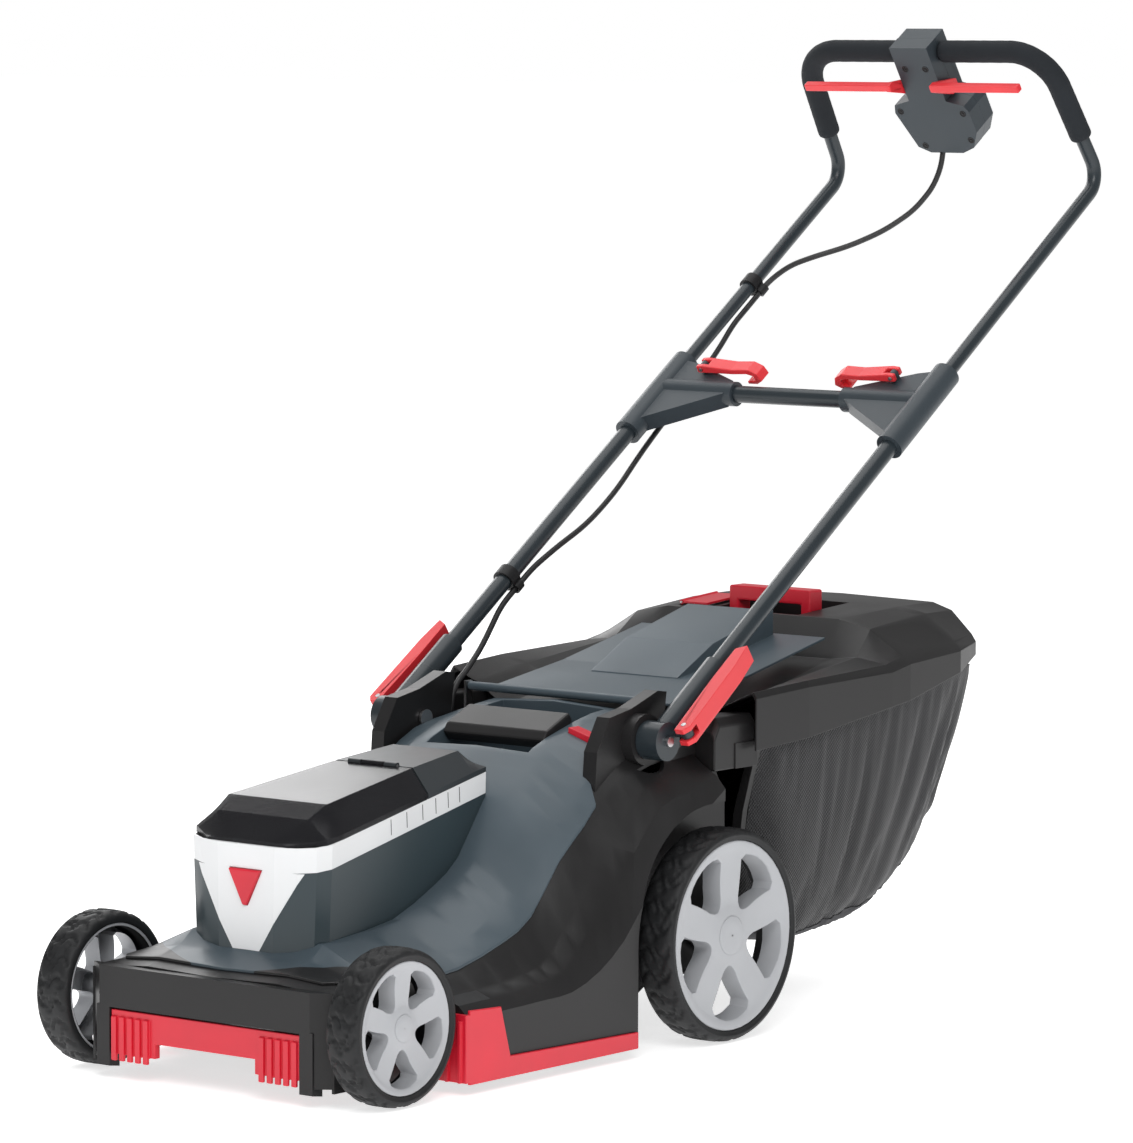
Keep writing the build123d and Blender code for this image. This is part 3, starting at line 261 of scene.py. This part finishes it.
def smoky(name, color, through):
    """Tinted clear plastic, seen through in part."""
    made = finish(name, color, 0.20, spread=0.1, grain=0.0, rough_spread=0.04, specular=0.22)
    shader = made.node_tree.nodes["Principled BSDF"]
    shader.inputs["Alpha"].default_value = through
    shader.inputs["Specular Tint"].default_value = (0.3, 0.3, 0.32, 1)
    return made


BLACK = finish("black_plastic", (0.0145, 0.0140, 0.0145), 0.38, spread=0.15, grain=0.10,
        rough_spread=0.10, specular=0.32)
DARK = finish("dark_plastic", (0.010, 0.010, 0.011), 0.5, spread=0.15, grain=0.12, specular=0.3)
SLATE = finish("slate_plastic", (0.066, 0.090, 0.108), 0.36, spread=0.06, grain=0.10, rough_spread=0.07,
        specular=0.4)
PANEL = finish("panel_plastic", (0.030, 0.046, 0.054), 0.30, spread=0.06, grain=0.06, specular=0.4)
HOOD = finish("hood_plastic", (0.030, 0.035, 0.039), 0.30, spread=0.08, grain=0.05, specular=0.4)
WHITE = finish("white_plastic", (0.82, 0.83, 0.84), 0.24, spread=0.02, grain=0.04, coat=0.2)
RED = finish("red_plastic", (0.66, 0.012, 0.032), 0.34, spread=0.07, grain=0.08, rough_spread=0.06)
RED_LEVER = finish("red_lever_plastic", (0.78, 0.035, 0.045), 0.34, spread=0.06, grain=0.08)
TUBE = finish("tube_paint", (0.021, 0.029, 0.035), 0.30, spread=0.06, grain=0.12, grain_scale=2200,
        specular=0.45)
BRACKET = finish("bracket_plastic", (0.036, 0.047, 0.056), 0.42, spread=0.06, grain=0.16, specular=0.4)
FOAM = finish("grip_foam", (0.016, 0.019, 0.023), 0.78, spread=0.15, grain=0.6, grain_scale=1500,
        depth=0.0005, specular=0.25)
STEEL = finish("plain_steel", (0.52, 0.52, 0.53), 0.30, spread=0.10, grain=0.10, metal=1.0)
RIM = finish("rim_plastic", (0.43, 0.44, 0.46), 0.40, spread=0.04, grain=0.10, rough_spread=0.05)
TYRE = finish("tyre_rubber", (0.013, 0.0135, 0.0145), 0.56, spread=0.25, blotch=60, grain=0.25,
        grain_scale=1100, depth=0.0003, specular=0.35)
CLOTH = weave("bag_cloth", (0.0125, 0.0125, 0.0145), 0.0042, 0.0009, 0.66, 0.7)
HEM = finish("hem_tape", (0.045, 0.045, 0.049), 0.7, spread=0.12, grain=0.5, grain_scale=1500,
        depth=0.0003, specular=0.3)
SHEATH = finish("cable_sheath", (0.014, 0.014, 0.015), 0.42, spread=0.1, grain=0.1)
LID_CLEAR = smoky("lid_plastic", (0.018, 0.018, 0.020), 0.86)


def front_arc(made, edge_color, half, reach, middle, offset):
    """Past a rounded front outline the surface turns to the darker shelf colour."""
    tree = made.node_tree
    shader = tree.nodes["Principled BSDF"]
    base = shader.inputs["Base Color"].links[0].from_socket
    place = node_of(tree, "ShaderNodeSeparateXYZ")
    tree.links.new(node_of(tree, "ShaderNodeTexCoord").outputs["Object"], place.inputs["Vector"])
    terms = []
    for axis, centre, size in (("X", 0.0, half), ("Y", middle, -reach)):
        start = {"X": offset.x, "Y": offset.y}[axis]
        moved = node_of(tree, "ShaderNodeMath", operation="MULTIPLY_ADD")
        moved.inputs[1].default_value = 1 / size
        moved.inputs[2].default_value = (start - centre) / size
        tree.links.new(place.outputs[axis], moved.inputs[0])
        far = node_of(tree, "ShaderNodeMath", operation="ABSOLUTE" if axis == "X" else "MAXIMUM")
        tree.links.new(moved.outputs[0], far.inputs[0])
        if axis == "Y":
            far.inputs[1].default_value = 0.0
        power = node_of(tree, "ShaderNodeMath", operation="POWER")
        power.inputs[1].default_value = 1.8
        tree.links.new(far.outputs[0], power.inputs[0])
        terms.append(power)
    total = node_of(tree, "ShaderNodeMath", operation="ADD")
    tree.links.new(terms[0].outputs[0], total.inputs[0])
    tree.links.new(terms[1].outputs[0], total.inputs[1])
    past = node_of(tree, "ShaderNodeMath", operation="GREATER_THAN")
    past.inputs[1].default_value = 1.0
    tree.links.new(total.outputs[0], past.inputs[0])
    mixed = node_of(tree, "ShaderNodeMix", data_type="RGBA")
    tree.links.new(past.outputs[0], mixed.inputs[0])
    tree.links.new(base, mixed.inputs[6])
    mixed.inputs[7].default_value = (*edge_color, 1)
    tree.links.new(mixed.outputs[2], shader.inputs["Base Color"])
    return made


COVER = front_arc(finish("cover_plastic", (0.066, 0.090, 0.108), 0.36, spread=0.06, grain=0.10,
        rough_spread=0.07,
                         specular=0.4),
                  (0.0145, 0.0140, 0.0145), 0.151, 0.122, (86 - ORIGIN_Y) / 1000,
                  nodes["top_cover"].matrix_world.translation)


# ------------------------------------------------------------------ helpers for pieces
def put(name, verts, faces, body, material, replaces=(), smooth=True):
    mesh = bpy.data.meshes.new(name)
    mesh.from_pydata([tuple(at(*v)) for v in verts], [], faces)
    made = bmesh.new()
    made.from_mesh(mesh)
    bmesh.ops.remove_doubles(made, verts=made.verts, dist=1e-6)
    bmesh.ops.recalc_face_normals(made, faces=made.faces)
    made.to_mesh(mesh)
    made.free()
    for face in mesh.polygons:
        face.use_smooth = smooth
    mesh.materials.append(material)
    piece = bpy.data.objects.new(name, mesh)
    bpy.context.scene.collection.objects.link(piece)
    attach(piece, body)
    if replaces:
        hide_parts(*replaces)
    return piece


def grid_faces(rows, columns, closed_rows=False, closed_columns=False):
    faces = []
    for i in range(rows if closed_rows else rows - 1):
        for j in range(columns if closed_columns else columns - 1):
            a = i * columns + j
            b = i * columns + (j + 1) % columns
            c = ((i + 1) % rows) * columns + (j + 1) % columns
            d = ((i + 1) % rows) * columns + j
            faces.append((a, b, c, d))
    return faces


def bevelled(piece, width, segments=2, angle=30):
    edge = piece.modifiers.new("edge", "BEVEL")
    edge.width = width / 1000
    edge.segments = segments
    edge.limit_method = "ANGLE"
    edge.angle_limit = math.radians(angle)
    edge.use_clamp_overlap = True
    normals = piece.modifiers.new("normals", "WEIGHTED_NORMAL")
    normals.keep_sharp = True
    return piece


def dress(node, material, width=0.6, segments=2, angle=30):
    """A CAD node that stays: its own material, and a small radius on its sharp edges."""
    piece = nodes[node]
    piece.data.materials.clear()
    piece.data.materials.append(material)
    weld = piece.modifiers.new("weld", "WELD")
    weld.merge_threshold = 0.00001
    if width:
        bevelled(piece, width, segments, angle)
    return piece


def smoothstep(t):
    t = min(1.0, max(0.0, t))
    return t * t * (3 - 2 * t)


# ------------------------------------------------------------------ CAD nodes that stay
for node, material, width in (
        ("deck_housing", BLACK, 1.2), ("top_cover", COVER, 1.0), ("carry_handle", BLACK, 2.2),
        ("height_button", RED, 1.2), ("battery_housing", PANEL, 1.0), ("battery_trim", WHITE, 0.8),
        ("hood_rear_cover", HOOD, 1.4), ("hood_latch_button", RED, 1.6), ("battery_pack", DARK, 1.5),
        ("safety_key", RED, 1.0), ("controller", DARK, 1.0), ("handle_mounts", BLACK, 1.6),
        ("pivot_bolts", STEEL, 0.4), ("grass_combs", RED, 0.8), ("blade_chamber", DARK, 0.6),
        ("discharge_chute", DARK, 0.8), ("motor_body", DARK, 0.8), ("motor_shaft", STEEL, 0.3),
        ("blade_carrier", RED, 0.5), ("cutting_blade", STEEL, 0.4), ("blade_bolt", STEEL, 0.4),
        ("front_crank_axle", STEEL, 0.4), ("rear_crank_axle", STEEL, 0.4), ("height_rod", STEEL, 0.3),
        ("rear_flap", SLATE, 1.0), ("bag_frame", BLACK, 0.8), ("bag_lid", BLACK, 1.6), ("bag_handle", RED,
                2.2),
        ("level_flap", RED, 0.5), ("hinge_pins", STEEL, 0.0), ("lower_tubes", TUBE, 0.0), ("tube_feet",
                TUBE, 0.8),
        ("lower_lever_left", RED_LEVER, 1.6), ("lower_lever_right", RED_LEVER, 1.6),
        ("handle_brackets", BRACKET, 1.6), ("crossbar", TUBE, 0.0), ("lever_pins", STEEL, 0.0),
        ("upper_lever_left", RED_LEVER, 1.0), ("upper_lever_right", RED_LEVER, 1.0), ("upper_tube", TUBE,
                0.0),
        ("switch_box_front", BRACKET, 3.5), ("switch_box_back", BRACKET, 3.5), ("start_button", RED, 0.8),
        ("bail_lever", RED_LEVER, 1.4), ("cable_upper", SHEATH, 0.0), ("cable_middle", SHEATH, 0.0),
        ("cable_lower", SHEATH, 0.0), ("cable_clip_upper", DARK, 0.5), ("cable_clip_lower", DARK, 0.5),
        ("hood_lid", LID_CLEAR, 0.0)):
    if node in nodes:
        dress(node, material, width)

# ------------------------------------------------------------------ wheels
FRONT = {"radius": 74.0, "width": 38.0, "inner": 161.5, "y": 0.0, "z": 74.0, "lugs": 22, "steps": 264}
REAR = {"radius": 105.0, "width": 42.0, "inner": 176.5, "y": WHEELBASE, "z": 105.0, "lugs": 28, "steps": 336}
TYRE_DEPTH = 11.5
SPOKES = 5


def tread_drop(turn, across, lugs):
    """Depth of the grooves: curved arcs across the tread, staggered from one half to the other."""
    phase = turn * lugs + 0.42 * math.sin(2 * math.pi * across) + (0.5 if across > 0.5 else 0.0)
    away = abs(phase - math.floor(phase) - 0.5) * 2
    groove = 1 - smoothstep((away - 0.10) / 0.22)
    second = turn * lugs * 0.5 + 0.35 * math.cos(2 * math.pi * across)
    away2 = abs(second - math.floor(second) - 0.5) * 2
    groove = max(groove, (1 - smoothstep((away2 - 0.05) / 0.12)) * 0.8)
    return 2.3 * groove


def tyre_piece(wheel, side, name):
    steps, width, radius = wheel["steps"], wheel["width"], wheel["radius"]
    inside = radius - TYRE_DEPTH + 0.02
    tread = [(3.5 + (width - 7.0) * k / 14, k / 14) for k in range(15)]
    verts = []
    for i in range(steps):
        turn = i / steps
        angle = 2 * math.pi * turn
        ring = [(0.6, inside), (0.0, inside + 1.2), (0.0, radius - 6.0), (1.2, radius - 3.2)]
        for u, across in tread:
            crown = 1.6 * (2 * across - 1) ** 4
            ring.append((u, radius - 0.05 - crown - tread_drop(turn, across, wheel["lugs"])))
        ring += [(width - 1.2, radius - 3.2), (width, radius - 6.0), (width, radius - 7.6),
                 (width - 0.7, radius - 8.2), (width - 0.7, inside + 1.4), (width - 1.4, inside)]
        for u, r in ring:
            verts.append((side * (wheel["inner"] + u), wheel["y"] + r * math.cos(angle),
                    wheel["z"] + r * math.sin(angle)))
    columns = len(ring)
    faces = grid_faces(steps, columns, closed_rows=True, closed_columns=True)
    return put("tread_" + name, verts, faces, "wheel_" + name, TYRE, ("tyre_" + name,))


def window_half(share):
    """Half the angle of a window, in degrees, from its inner end (0) to its outer end (1)."""
    return 13.0 + 11.5 * share ** 0.8


def rim_piece(wheel, side, name):
    width = wheel["width"]
    rim = wheel["radius"] - TYRE_DEPTH - 0.05
    hub, inner, outer = 0.235 * rim, 0.36 * rim, 0.86 * rim
    front = width - 1.5
    depth = 0.52 * width
    # rows of rings from the hub to the rim: radius, how far the face stands back, share of the window
    rings = [(0.16 * rim, 3.0, None), (hub, 3.0, None), (0.30 * rim, 4.6, None), (inner, 5.2, 0.0)]
    rings += [(inner + (outer - inner) * k / 8, 5.2 - 2.6 * (k / 8) ** 2, k / 8) for k in range(1, 8)]
    rings += [(outer, 2.6, 1.0), (0.90 * rim, 1.6, None), (0.935 * rim, 0.4, None), (0.985 * rim, 0.0,
            None), (rim, 1.0, None)]
    half = 180.0 / SPOKES
    verts, faces = [], []
    shares = []
    for r, back, share in rings:
        s = 0.0 if share is None and r < inner else 1.0 if share is None else share
        edge = window_half(s)
        if share is not None and share in (0.0, 1.0):
            edge *= 0.80
        row = [-half, -half + (half - edge) * 0.33, -half + (half - edge) * 0.67, -edge]
        row += [-edge + 2 * edge * k / 6 for k in range(1, 6)]
        row += [edge, half - (half - edge) * 0.67, half - (half - edge) * 0.33]
        shares.append(row)
    columns = len(shares[0])
    total = columns * SPOKES
    for (r, back, share), row in zip(rings, shares):
        for k in range(SPOKES):
            for j, angle in enumerate(row):
                turn = math.radians(90 + 36 + 72 * k + angle)
                bow = 0.0
                if share in (0.0, 1.0) and 3 < j < 9:
                    bow = (1 if share == 1.0 else -1) * 0.035 * rim * (1 - ((j - 6) / 3) ** 2)
                verts.append((front - back, (r + bow) * math.cos(turn), (r + bow) * math.sin(turn)))
    window_rows = [i for i, ring in enumerate(rings) if ring[2] is not None]
    first, last = window_rows[0], window_rows[-1]
    for i in range(len(rings) - 1):
        for j in range(total):
            inside_window = first <= i < last and 3 <= j % columns < 9
            if not inside_window:
                a, b = i * total + j, i * total + (j + 1) % total
                faces.append((a, b, b + total, a + total))
    # pocket walls behind each window
    for k in range(SPOKES):
        loop = [(first, j) for j in range(3, 10)] + [(i, 9) for i in range(first + 1, last)]
        loop += [(last, j) for j in range(9, 2, -1)] + [(i, 3) for i in range(last - 1, first, -1)]
        start = len(verts)
        for i, j in loop:
            verts.append(verts[i * total + k * columns + j])
        for level in (0.35, 1.0):
            for i, j in loop:
                u, y, z = verts[i * total + k * columns + j]
                verts.append((u - depth * level, y * (1 - 0.02 * level), z * (1 - 0.02 * level)))
        n = len(loop)
        for level in range(2):
            for m in range(n):
                a, b = start + level * n + m, start + level * n + (m + 1) % n
                faces.append((a, b, b + n, a + n))
    # the hub's flat face and the barrel
    centre = len(verts)
    verts.append((front - 3.0, 0, 0))
    for j in range(total):
        faces.append((centre, j, (j + 1) % total))
    start = len(verts)
    outer_ring = (len(rings) - 1) * total
    for u, r in ((1.5, rim), (1.5, rim - 3.0), (front - depth, rim - 3.2), (front - depth - 0.5,
            0.36 * rim), (4.0, 0.2 * rim), (4.0, 0.13 * rim)):
        for j in range(total):
            y, z = verts[outer_ring + j][1:]
            scale = r / math.hypot(y, z)
            verts.append((u, y * scale, z * scale))
    for j in range(total):
        a, b = outer_ring + j, outer_ring + (j + 1) % total
        faces.append((a, b, start + (j + 1) % total, start + j))
    for level in (0, 1):
        for j in range(total):
            a, b = start + level * total + j, start + level * total + (j + 1) % total
            faces.append((a, b, b + total, a + total))
    placed = [(side * (wheel["inner"] + u), wheel["y"] + y, wheel["z"] + z) for u, y, z in verts]
    piece = put("rim_face_" + name, placed, faces, "wheel_" + name, RIM, ("rim_" + name,))
    bevelled(piece, 0.9, 3, 32)
    # cap with a fine gap round it
    ring_count = 40
    cap = []
    for u, r in ((front - 5.0, 0.205 * rim), (front - 2.2, 0.205 * rim), (front - 1.8, 0.195 * rim),
            (front - 1.6, 0.10 * rim), (front - 1.55, 0.01 * rim)):
        for j in range(ring_count):
            turn = 2 * math.pi * j / ring_count
            cap.append((side * (wheel["inner"] + u), wheel["y"] + r * math.cos(turn),
                    wheel["z"] + r * math.sin(turn)))
    cap_faces = grid_faces(5, ring_count, closed_columns=True)
    put("hub_cap_" + name, cap, cap_faces, "wheel_" + name, RIM, ())
    # dark inner drum behind the spokes
    drum = []
    for u, r in ((2.0, rim - 3.4), (2.0, rim - 1.2), (front - 0.55 * depth, rim - 1.2),
            (front - 0.55 * depth, rim - 3.4)):
        for j in range(60):
            turn = 2 * math.pi * j / 60
            drum.append((side * (wheel["inner"] + u), wheel["y"] + r * math.cos(turn),
                    wheel["z"] + r * math.sin(turn)))
    put("wheel_drum_" + name, drum, grid_faces(4, 60, closed_rows=True, closed_columns=True),
            "wheel_" + name, DARK, ())
    hub_tube = []
    for u, r in ((3.0, 0.14 * rim), (3.0, 0.2 * rim), (front - 5.0, 0.22 * rim), (front - 5.0, 0.14 * rim)):
        for j in range(36):
            turn = 2 * math.pi * j / 36
            hub_tube.append((side * (wheel["inner"] + u), wheel["y"] + r * math.cos(turn),
                    wheel["z"] + r * math.sin(turn)))
    put("wheel_hub_" + name, hub_tube, grid_faces(4, 36, closed_rows=True, closed_columns=True),
            "wheel_" + name, RIM, ())


for wheel, end in ((FRONT, "front"), (REAR, "rear")):
    for side, word in ((1, "left"), (-1, "right")):
        tyre_piece(wheel, side, end + "_" + word)
        rim_piece(wheel, side, end + "_" + word)

# ------------------------------------------------------------------ grass bag cloth
BAG_ROWS = [(0, 288, 0.87, 215, 0.81, 122, 0.965), (36, 290, 0.93, 215, 0.85, 92, 0.985),
            (100, 297, 0.95, 212, 0.86, 82, 1.0), (240, 314, 0.95, 210, 0.84, 92, 1.0),
            (320, 324, 0.91, 220, 0.78, 118, 0.975), (376, 330, 0.84, 250, 0.70, 160, 0.91)]
BAG_LENGTH = 376.0
CLOTH_EASE = 0.025              # how much longer the cloth is than the frame it hangs on


def smooth_between(rows, along):
    """The row at a distance along, on a smooth curve through the given rows."""
    k = 0
    while k < len(rows) - 2 and along > rows[k + 1][0]:
        k += 1
    a, b = rows[k], rows[k + 1]
    before, after = rows[max(k - 1, 0)], rows[min(k + 2, len(rows) - 1)]
    gap = b[0] - a[0]
    t = (along - a[0]) / gap
    out = []
    for n in range(1, len(a)):
        enter = (b[n] - before[n]) / (b[0] - before[0]) * gap
        leave = (after[n] - a[n]) / (after[0] - a[0]) * gap
        out.append((2 * t ** 3 - 3 * t * t + 1) * a[n] + (t ** 3 - 2 * t * t + t) * enter
                   + (3 * t * t - 2 * t ** 3) * b[n] + (t ** 3 - t * t) * leave)
    return out


def rounded_path(points, count, reach):
    """A polyline resampled evenly, with its corners rounded by averaging over the reach."""
    lengths = [0.0]
    for a, b in zip(points, points[1:]):
        lengths.append(lengths[-1] + math.dist(a, b))

    def on_line(s):
        s = min(max(s, 0.0), lengths[-1])
        k = 0
        while k < len(points) - 2 and s > lengths[k + 1]:
            k += 1
        t = (s - lengths[k]) / (lengths[k + 1] - lengths[k])
        return [a + (b - a) * t for a, b in zip(points[k], points[k + 1])]

    out = []
    for i in range(count):
        s = lengths[-1] * i / (count - 1)
        span = min(reach, s, lengths[-1] - s)
        samples = [on_line(s + span * k / 4) for k in range(-4, 5)]
        out.append([sum(p[n] for p in samples) / 9 for n in range(2)])
    return out


CLOTH_COLUMNS = 121
CLOTH_ROWS = 58
BACK_ROWS = 12


def bag_outline(along, inset):
    top, mid_w, mid_z, low_w, low_z, top_w = smooth_between(BAG_ROWS, along)
    right = [(top_w * BAG_HALF - inset, top), (mid_w * BAG_HALF - inset, mid_z),
            (low_w * BAG_HALF - inset, low_z + inset)]
    left = [(-x, z) for x, z in reversed(right)]
    return rounded_path(right + [(0, low_z - 6 + inset)] + left, CLOTH_COLUMNS, 26.0)


def make_bag_cloth():
    verts = []
    for i in range(CLOTH_ROWS):
        along = 0.5 + (BAG_LENGTH - 0.5) * i / (CLOTH_ROWS - 1)
        for x, z in bag_outline(along, 2.5):
            verts.append((x, BAG_Y + along, z))
    last = bag_outline(BAG_LENGTH, 2.5)
    for i in range(1, BACK_ROWS + 1):
        share = 1 - i / (BACK_ROWS + 0.4)
        for x, z in last:
            verts.append((x * share, BAG_Y + BAG_LENGTH + 2.0 * (1 - share), 328 + (z - 328) * share))
    faces = grid_faces(CLOTH_ROWS + BACK_ROWS, CLOTH_COLUMNS)
    mesh = bpy.data.meshes.new("bag_cloth")
    mesh.from_pydata([tuple(at(*v)) for v in verts], [], faces)
    piece = bpy.data.objects.new("bag_cloth", mesh)
    bpy.context.scene.collection.objects.link(piece)
    held = piece.vertex_groups.new(name="held")
    for index in range(len(verts)):
        row, column = divmod(index, CLOTH_COLUMNS)
        edge = min(column, CLOTH_COLUMNS - 1 - column)
        if row == 0 or edge <= 1 or row >= CLOTH_ROWS + BACK_ROWS - 2:
            held.add([index], 1.0, "ADD")
    return piece


def hang(piece, steps, cap):
    """Let the cloth fall on its frame, keeping each point within the cap of where it was cut."""
    start = [v.co.copy() for v in piece.data.vertices]
    cloth = piece.modifiers.new("hang", "CLOTH")
    cloth.settings.quality = 6
    cloth.settings.mass = 0.25
    cloth.settings.tension_stiffness = 25
    cloth.settings.compression_stiffness = 25
    cloth.settings.shear_stiffness = 8
    cloth.settings.bending_stiffness = 0.6
    cloth.settings.air_damping = 4
    cloth.settings.vertex_group_mass = "held"
    cloth.settings.shrink_min = -CLOTH_EASE
    cloth.settings.shrink_max = -CLOTH_EASE
    cloth.point_cache.frame_start = 1
    cloth.point_cache.frame_end = steps
    scene = bpy.context.scene
    for step in range(1, steps + 1):
        scene.frame_set(step)
    shaped = piece.evaluated_get(bpy.context.evaluated_depsgraph_get())
    moved = [v.co.copy() for v in shaped.data.vertices]
    piece.modifiers.remove(cloth)
    scene.frame_set(1)
    for vertex, place, cut in zip(piece.data.vertices, moved, start):
        away = place - cut
        if away.length > cap:
            away *= (cap + 0.35 * min(away.length - cap, cap)) / away.length
        vertex.co = cut + away
    piece.data.update()


cloth = make_bag_cloth()
hang(cloth, 22, 0.009)
for face in cloth.data.polygons:
    face.use_smooth = True
cloth.data.materials.append(CLOTH)
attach(cloth, body_of_node("bag_fabric"))
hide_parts("bag_fabric")

# the hem tape along each lower edge, a little outside the cloth
normals = [v.normal.copy() for v in cloth.data.vertices]
for word, columns in (("left", range(36, 44)), ("right", range(CLOTH_COLUMNS - 44, CLOTH_COLUMNS - 36))):
    strip = []
    for row in range(1, CLOTH_ROWS):
        for column in columns:
            index = row * CLOTH_COLUMNS + column
            outward = normals[index] if normals[index].x * (1 if word == "left" else -1) > 0 else -normals[index]
            strip.append(cloth.data.vertices[index].co + outward * 0.0009)
    mesh = bpy.data.meshes.new("bag_hem_" + word)
    mesh.from_pydata([tuple(v) for v in strip], [], grid_faces(CLOTH_ROWS - 1, len(columns)))
    for face in mesh.polygons:
        face.use_smooth = True
    mesh.materials.append(HEM)
    hem = bpy.data.objects.new("bag_hem_" + word, mesh)
    bpy.context.scene.collection.objects.link(hem)
    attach(hem, body_of_node("bag_fabric"))

# ------------------------------------------------------------------ foam grips
LOW_BEND = (HALF_HANDLE, 1184.35, 827.20)
TOP_CORNER = (157.0, 1093.03, 962.58)
GRIP_END = (26.0, 1093.03, 962.58)
FOAM_RADIUS = 12.0
TUBE_RADIUS = 7.5


def grip_line(side):
    """The tube's centreline under the foam: up the leg, round the corner and along the bar."""
    corner = Vector(TOP_CORNER)
    up = (corner - Vector(LOW_BEND)).normalized()
    along = (Vector(GRIP_END) - corner).normalized()
    start = Vector(LOW_BEND) + up * 55.0
    half = math.acos(up.dot(along)) / 2
    cut = 48.0 * math.tan(half)
    enter, leave = corner - up * cut, corner + along * cut
    centre = corner + (along - up).normalized() * (48.0 / math.cos(half))
    points = [start.lerp(enter, k / 24) for k in range(24)]
    for k in range(25):
        turn = 2 * half * k / 24
        points.append(centre + (enter - centre) * math.cos(turn) + up * (48.0 * math.sin(turn)))
    points += [leave.lerp(Vector(GRIP_END), k / 18) for k in range(1, 19)]
    return [Vector((p.x * side, p.y, p.z)) for p in points]


for side, word in ((1, "left"), (-1, "right")):
    line = grip_line(side)
    verts, ring = [], 28
    count = len(line)
    profile = [(0, TUBE_RADIUS + 0.1), (0, FOAM_RADIUS - 1.6), (0.5, FOAM_RADIUS - 0.5)]
    profile += [(k, FOAM_RADIUS - 0.05 - 0.16 * (0.5 + 0.5 * math.sin(k * 1.7 + 0.6 * math.sin(k * 0.9))))
                for k in range(1, count - 1)]
    profile += [(count - 1.5, FOAM_RADIUS - 0.5), (count - 1, FOAM_RADIUS - 1.6), (count - 1,
            TUBE_RADIUS + 0.1)]
    profile += [(k, TUBE_RADIUS + 0.1) for k in range(count - 2, 0, -1)]
    for along, radius in profile:
        k = min(int(along), count - 2)
        place = line[k].lerp(line[k + 1], along - k)
        ahead = (line[min(k + 2, count - 1)] - line[max(k - 1, 0)]).normalized()
        across = ahead.cross(Vector((0.0, math.sin(LEAN), -math.cos(LEAN)))).normalized()
        if across.length < 0.5:
            across = Vector((1, 0, 0))
        square = ahead.cross(across)
        for j in range(ring):
            turn = 2 * math.pi * j / ring
            verts.append(tuple(place + (across * math.cos(turn) + square * math.sin(turn)) * radius))
    faces = grid_faces(len(profile), ring, closed_rows=True, closed_columns=True)
    grip = put("foam_grip_" + word, verts, faces, body_of_node("foam_grips"), FOAM,
               ("foam_grips",) if side == 1 else ())

# ------------------------------------------------------------------ small pieces
def on_grips(x, up, out):
    """A place in the grips' own frame: across, up along the grips from the bar, and out to the front."""
    return (x, GRIP_END[1] + up * math.cos(LEAN) - out * math.sin(LEAN),
            GRIP_END[2] + up * math.sin(LEAN) + out * math.cos(LEAN))


for number, (x, up) in enumerate(((-13, -9), (13, -9), (-40, -64), (40, -66), (38, -100), (-24, -108))):
    verts = []
    for radius, out in ((3.9, 20.95), (3.9, 21.25), (3.1, 21.25), (3.1, 20.98), (1.5, 20.98), (1.5, 21.1),
            (0.01, 21.1)):
        for k in range(24):
            turn = 2 * math.pi * k / 24
            verts.append(on_grips(x + radius * math.cos(turn), up + radius * math.sin(turn), out))
    put("box_screw_%d" % number, verts, grid_faces(7, 24, closed_columns=True),
            body_of_node("switch_box_front"),
        DARK, ())


def trim_face(side, y, z):
    """Where the white band's side lies at a height, found with a ray from outside."""
    trim = nodes["battery_trim"]
    into = trim.matrix_world.inverted()
    start = into @ at(side * 130, y, z)
    hit, place, _, _ = trim.ray_cast(start, into.to_3x3() @ Vector((-side, 0, 0)))
    return (trim.matrix_world @ place).x * 1000 if hit else None


# dark strips laid on the white band: painted shade standing in for its vent slots, which are not cut into the
# band
for side, word in ((1, "left"), (-1, "right")):
    for number, y in enumerate((125.5, 151.9, 178.5, 200.8, 221.8, 241.3)):
        top = 226 + 0.159 * (y - 3) - 2.5
        places = [(y + 1.5 * k / 4, top - 15 * k / 4) for k in range(5)]
        found = [(trim_face(side, a, b), a, b) for a, b in places]
        if any(x is None for x, _, _ in found):
            continue
        verts = [(x + side * 0.12, a + shift, b) for x, a, b in found for shift in (-0.5, 0.5)]
        put("painted_slot_shade_%s_%d" % (word, number), verts, grid_faces(5, 2), body_of_node("battery_trim"),
                DARK, ())
for side, word in ((1, "left"), (-1, "right")):
    verts = [(side * x, y, z) for y, low, high in ((486, 262, 300), (494, 262, 314), (552, 262, 314))
             for x, z in ((154, low), (184, low), (184, high - 8), (178, high), (154, high))]
    faces = grid_faces(3, 5, closed_columns=True) + [(0, 1, 2, 3, 4), (10, 11, 12, 13, 14)]
    bevelled(put("bag_shoulder_" + word, verts, faces, body_of_node("bag_frame"), BLACK, (),
            False), 1.5)
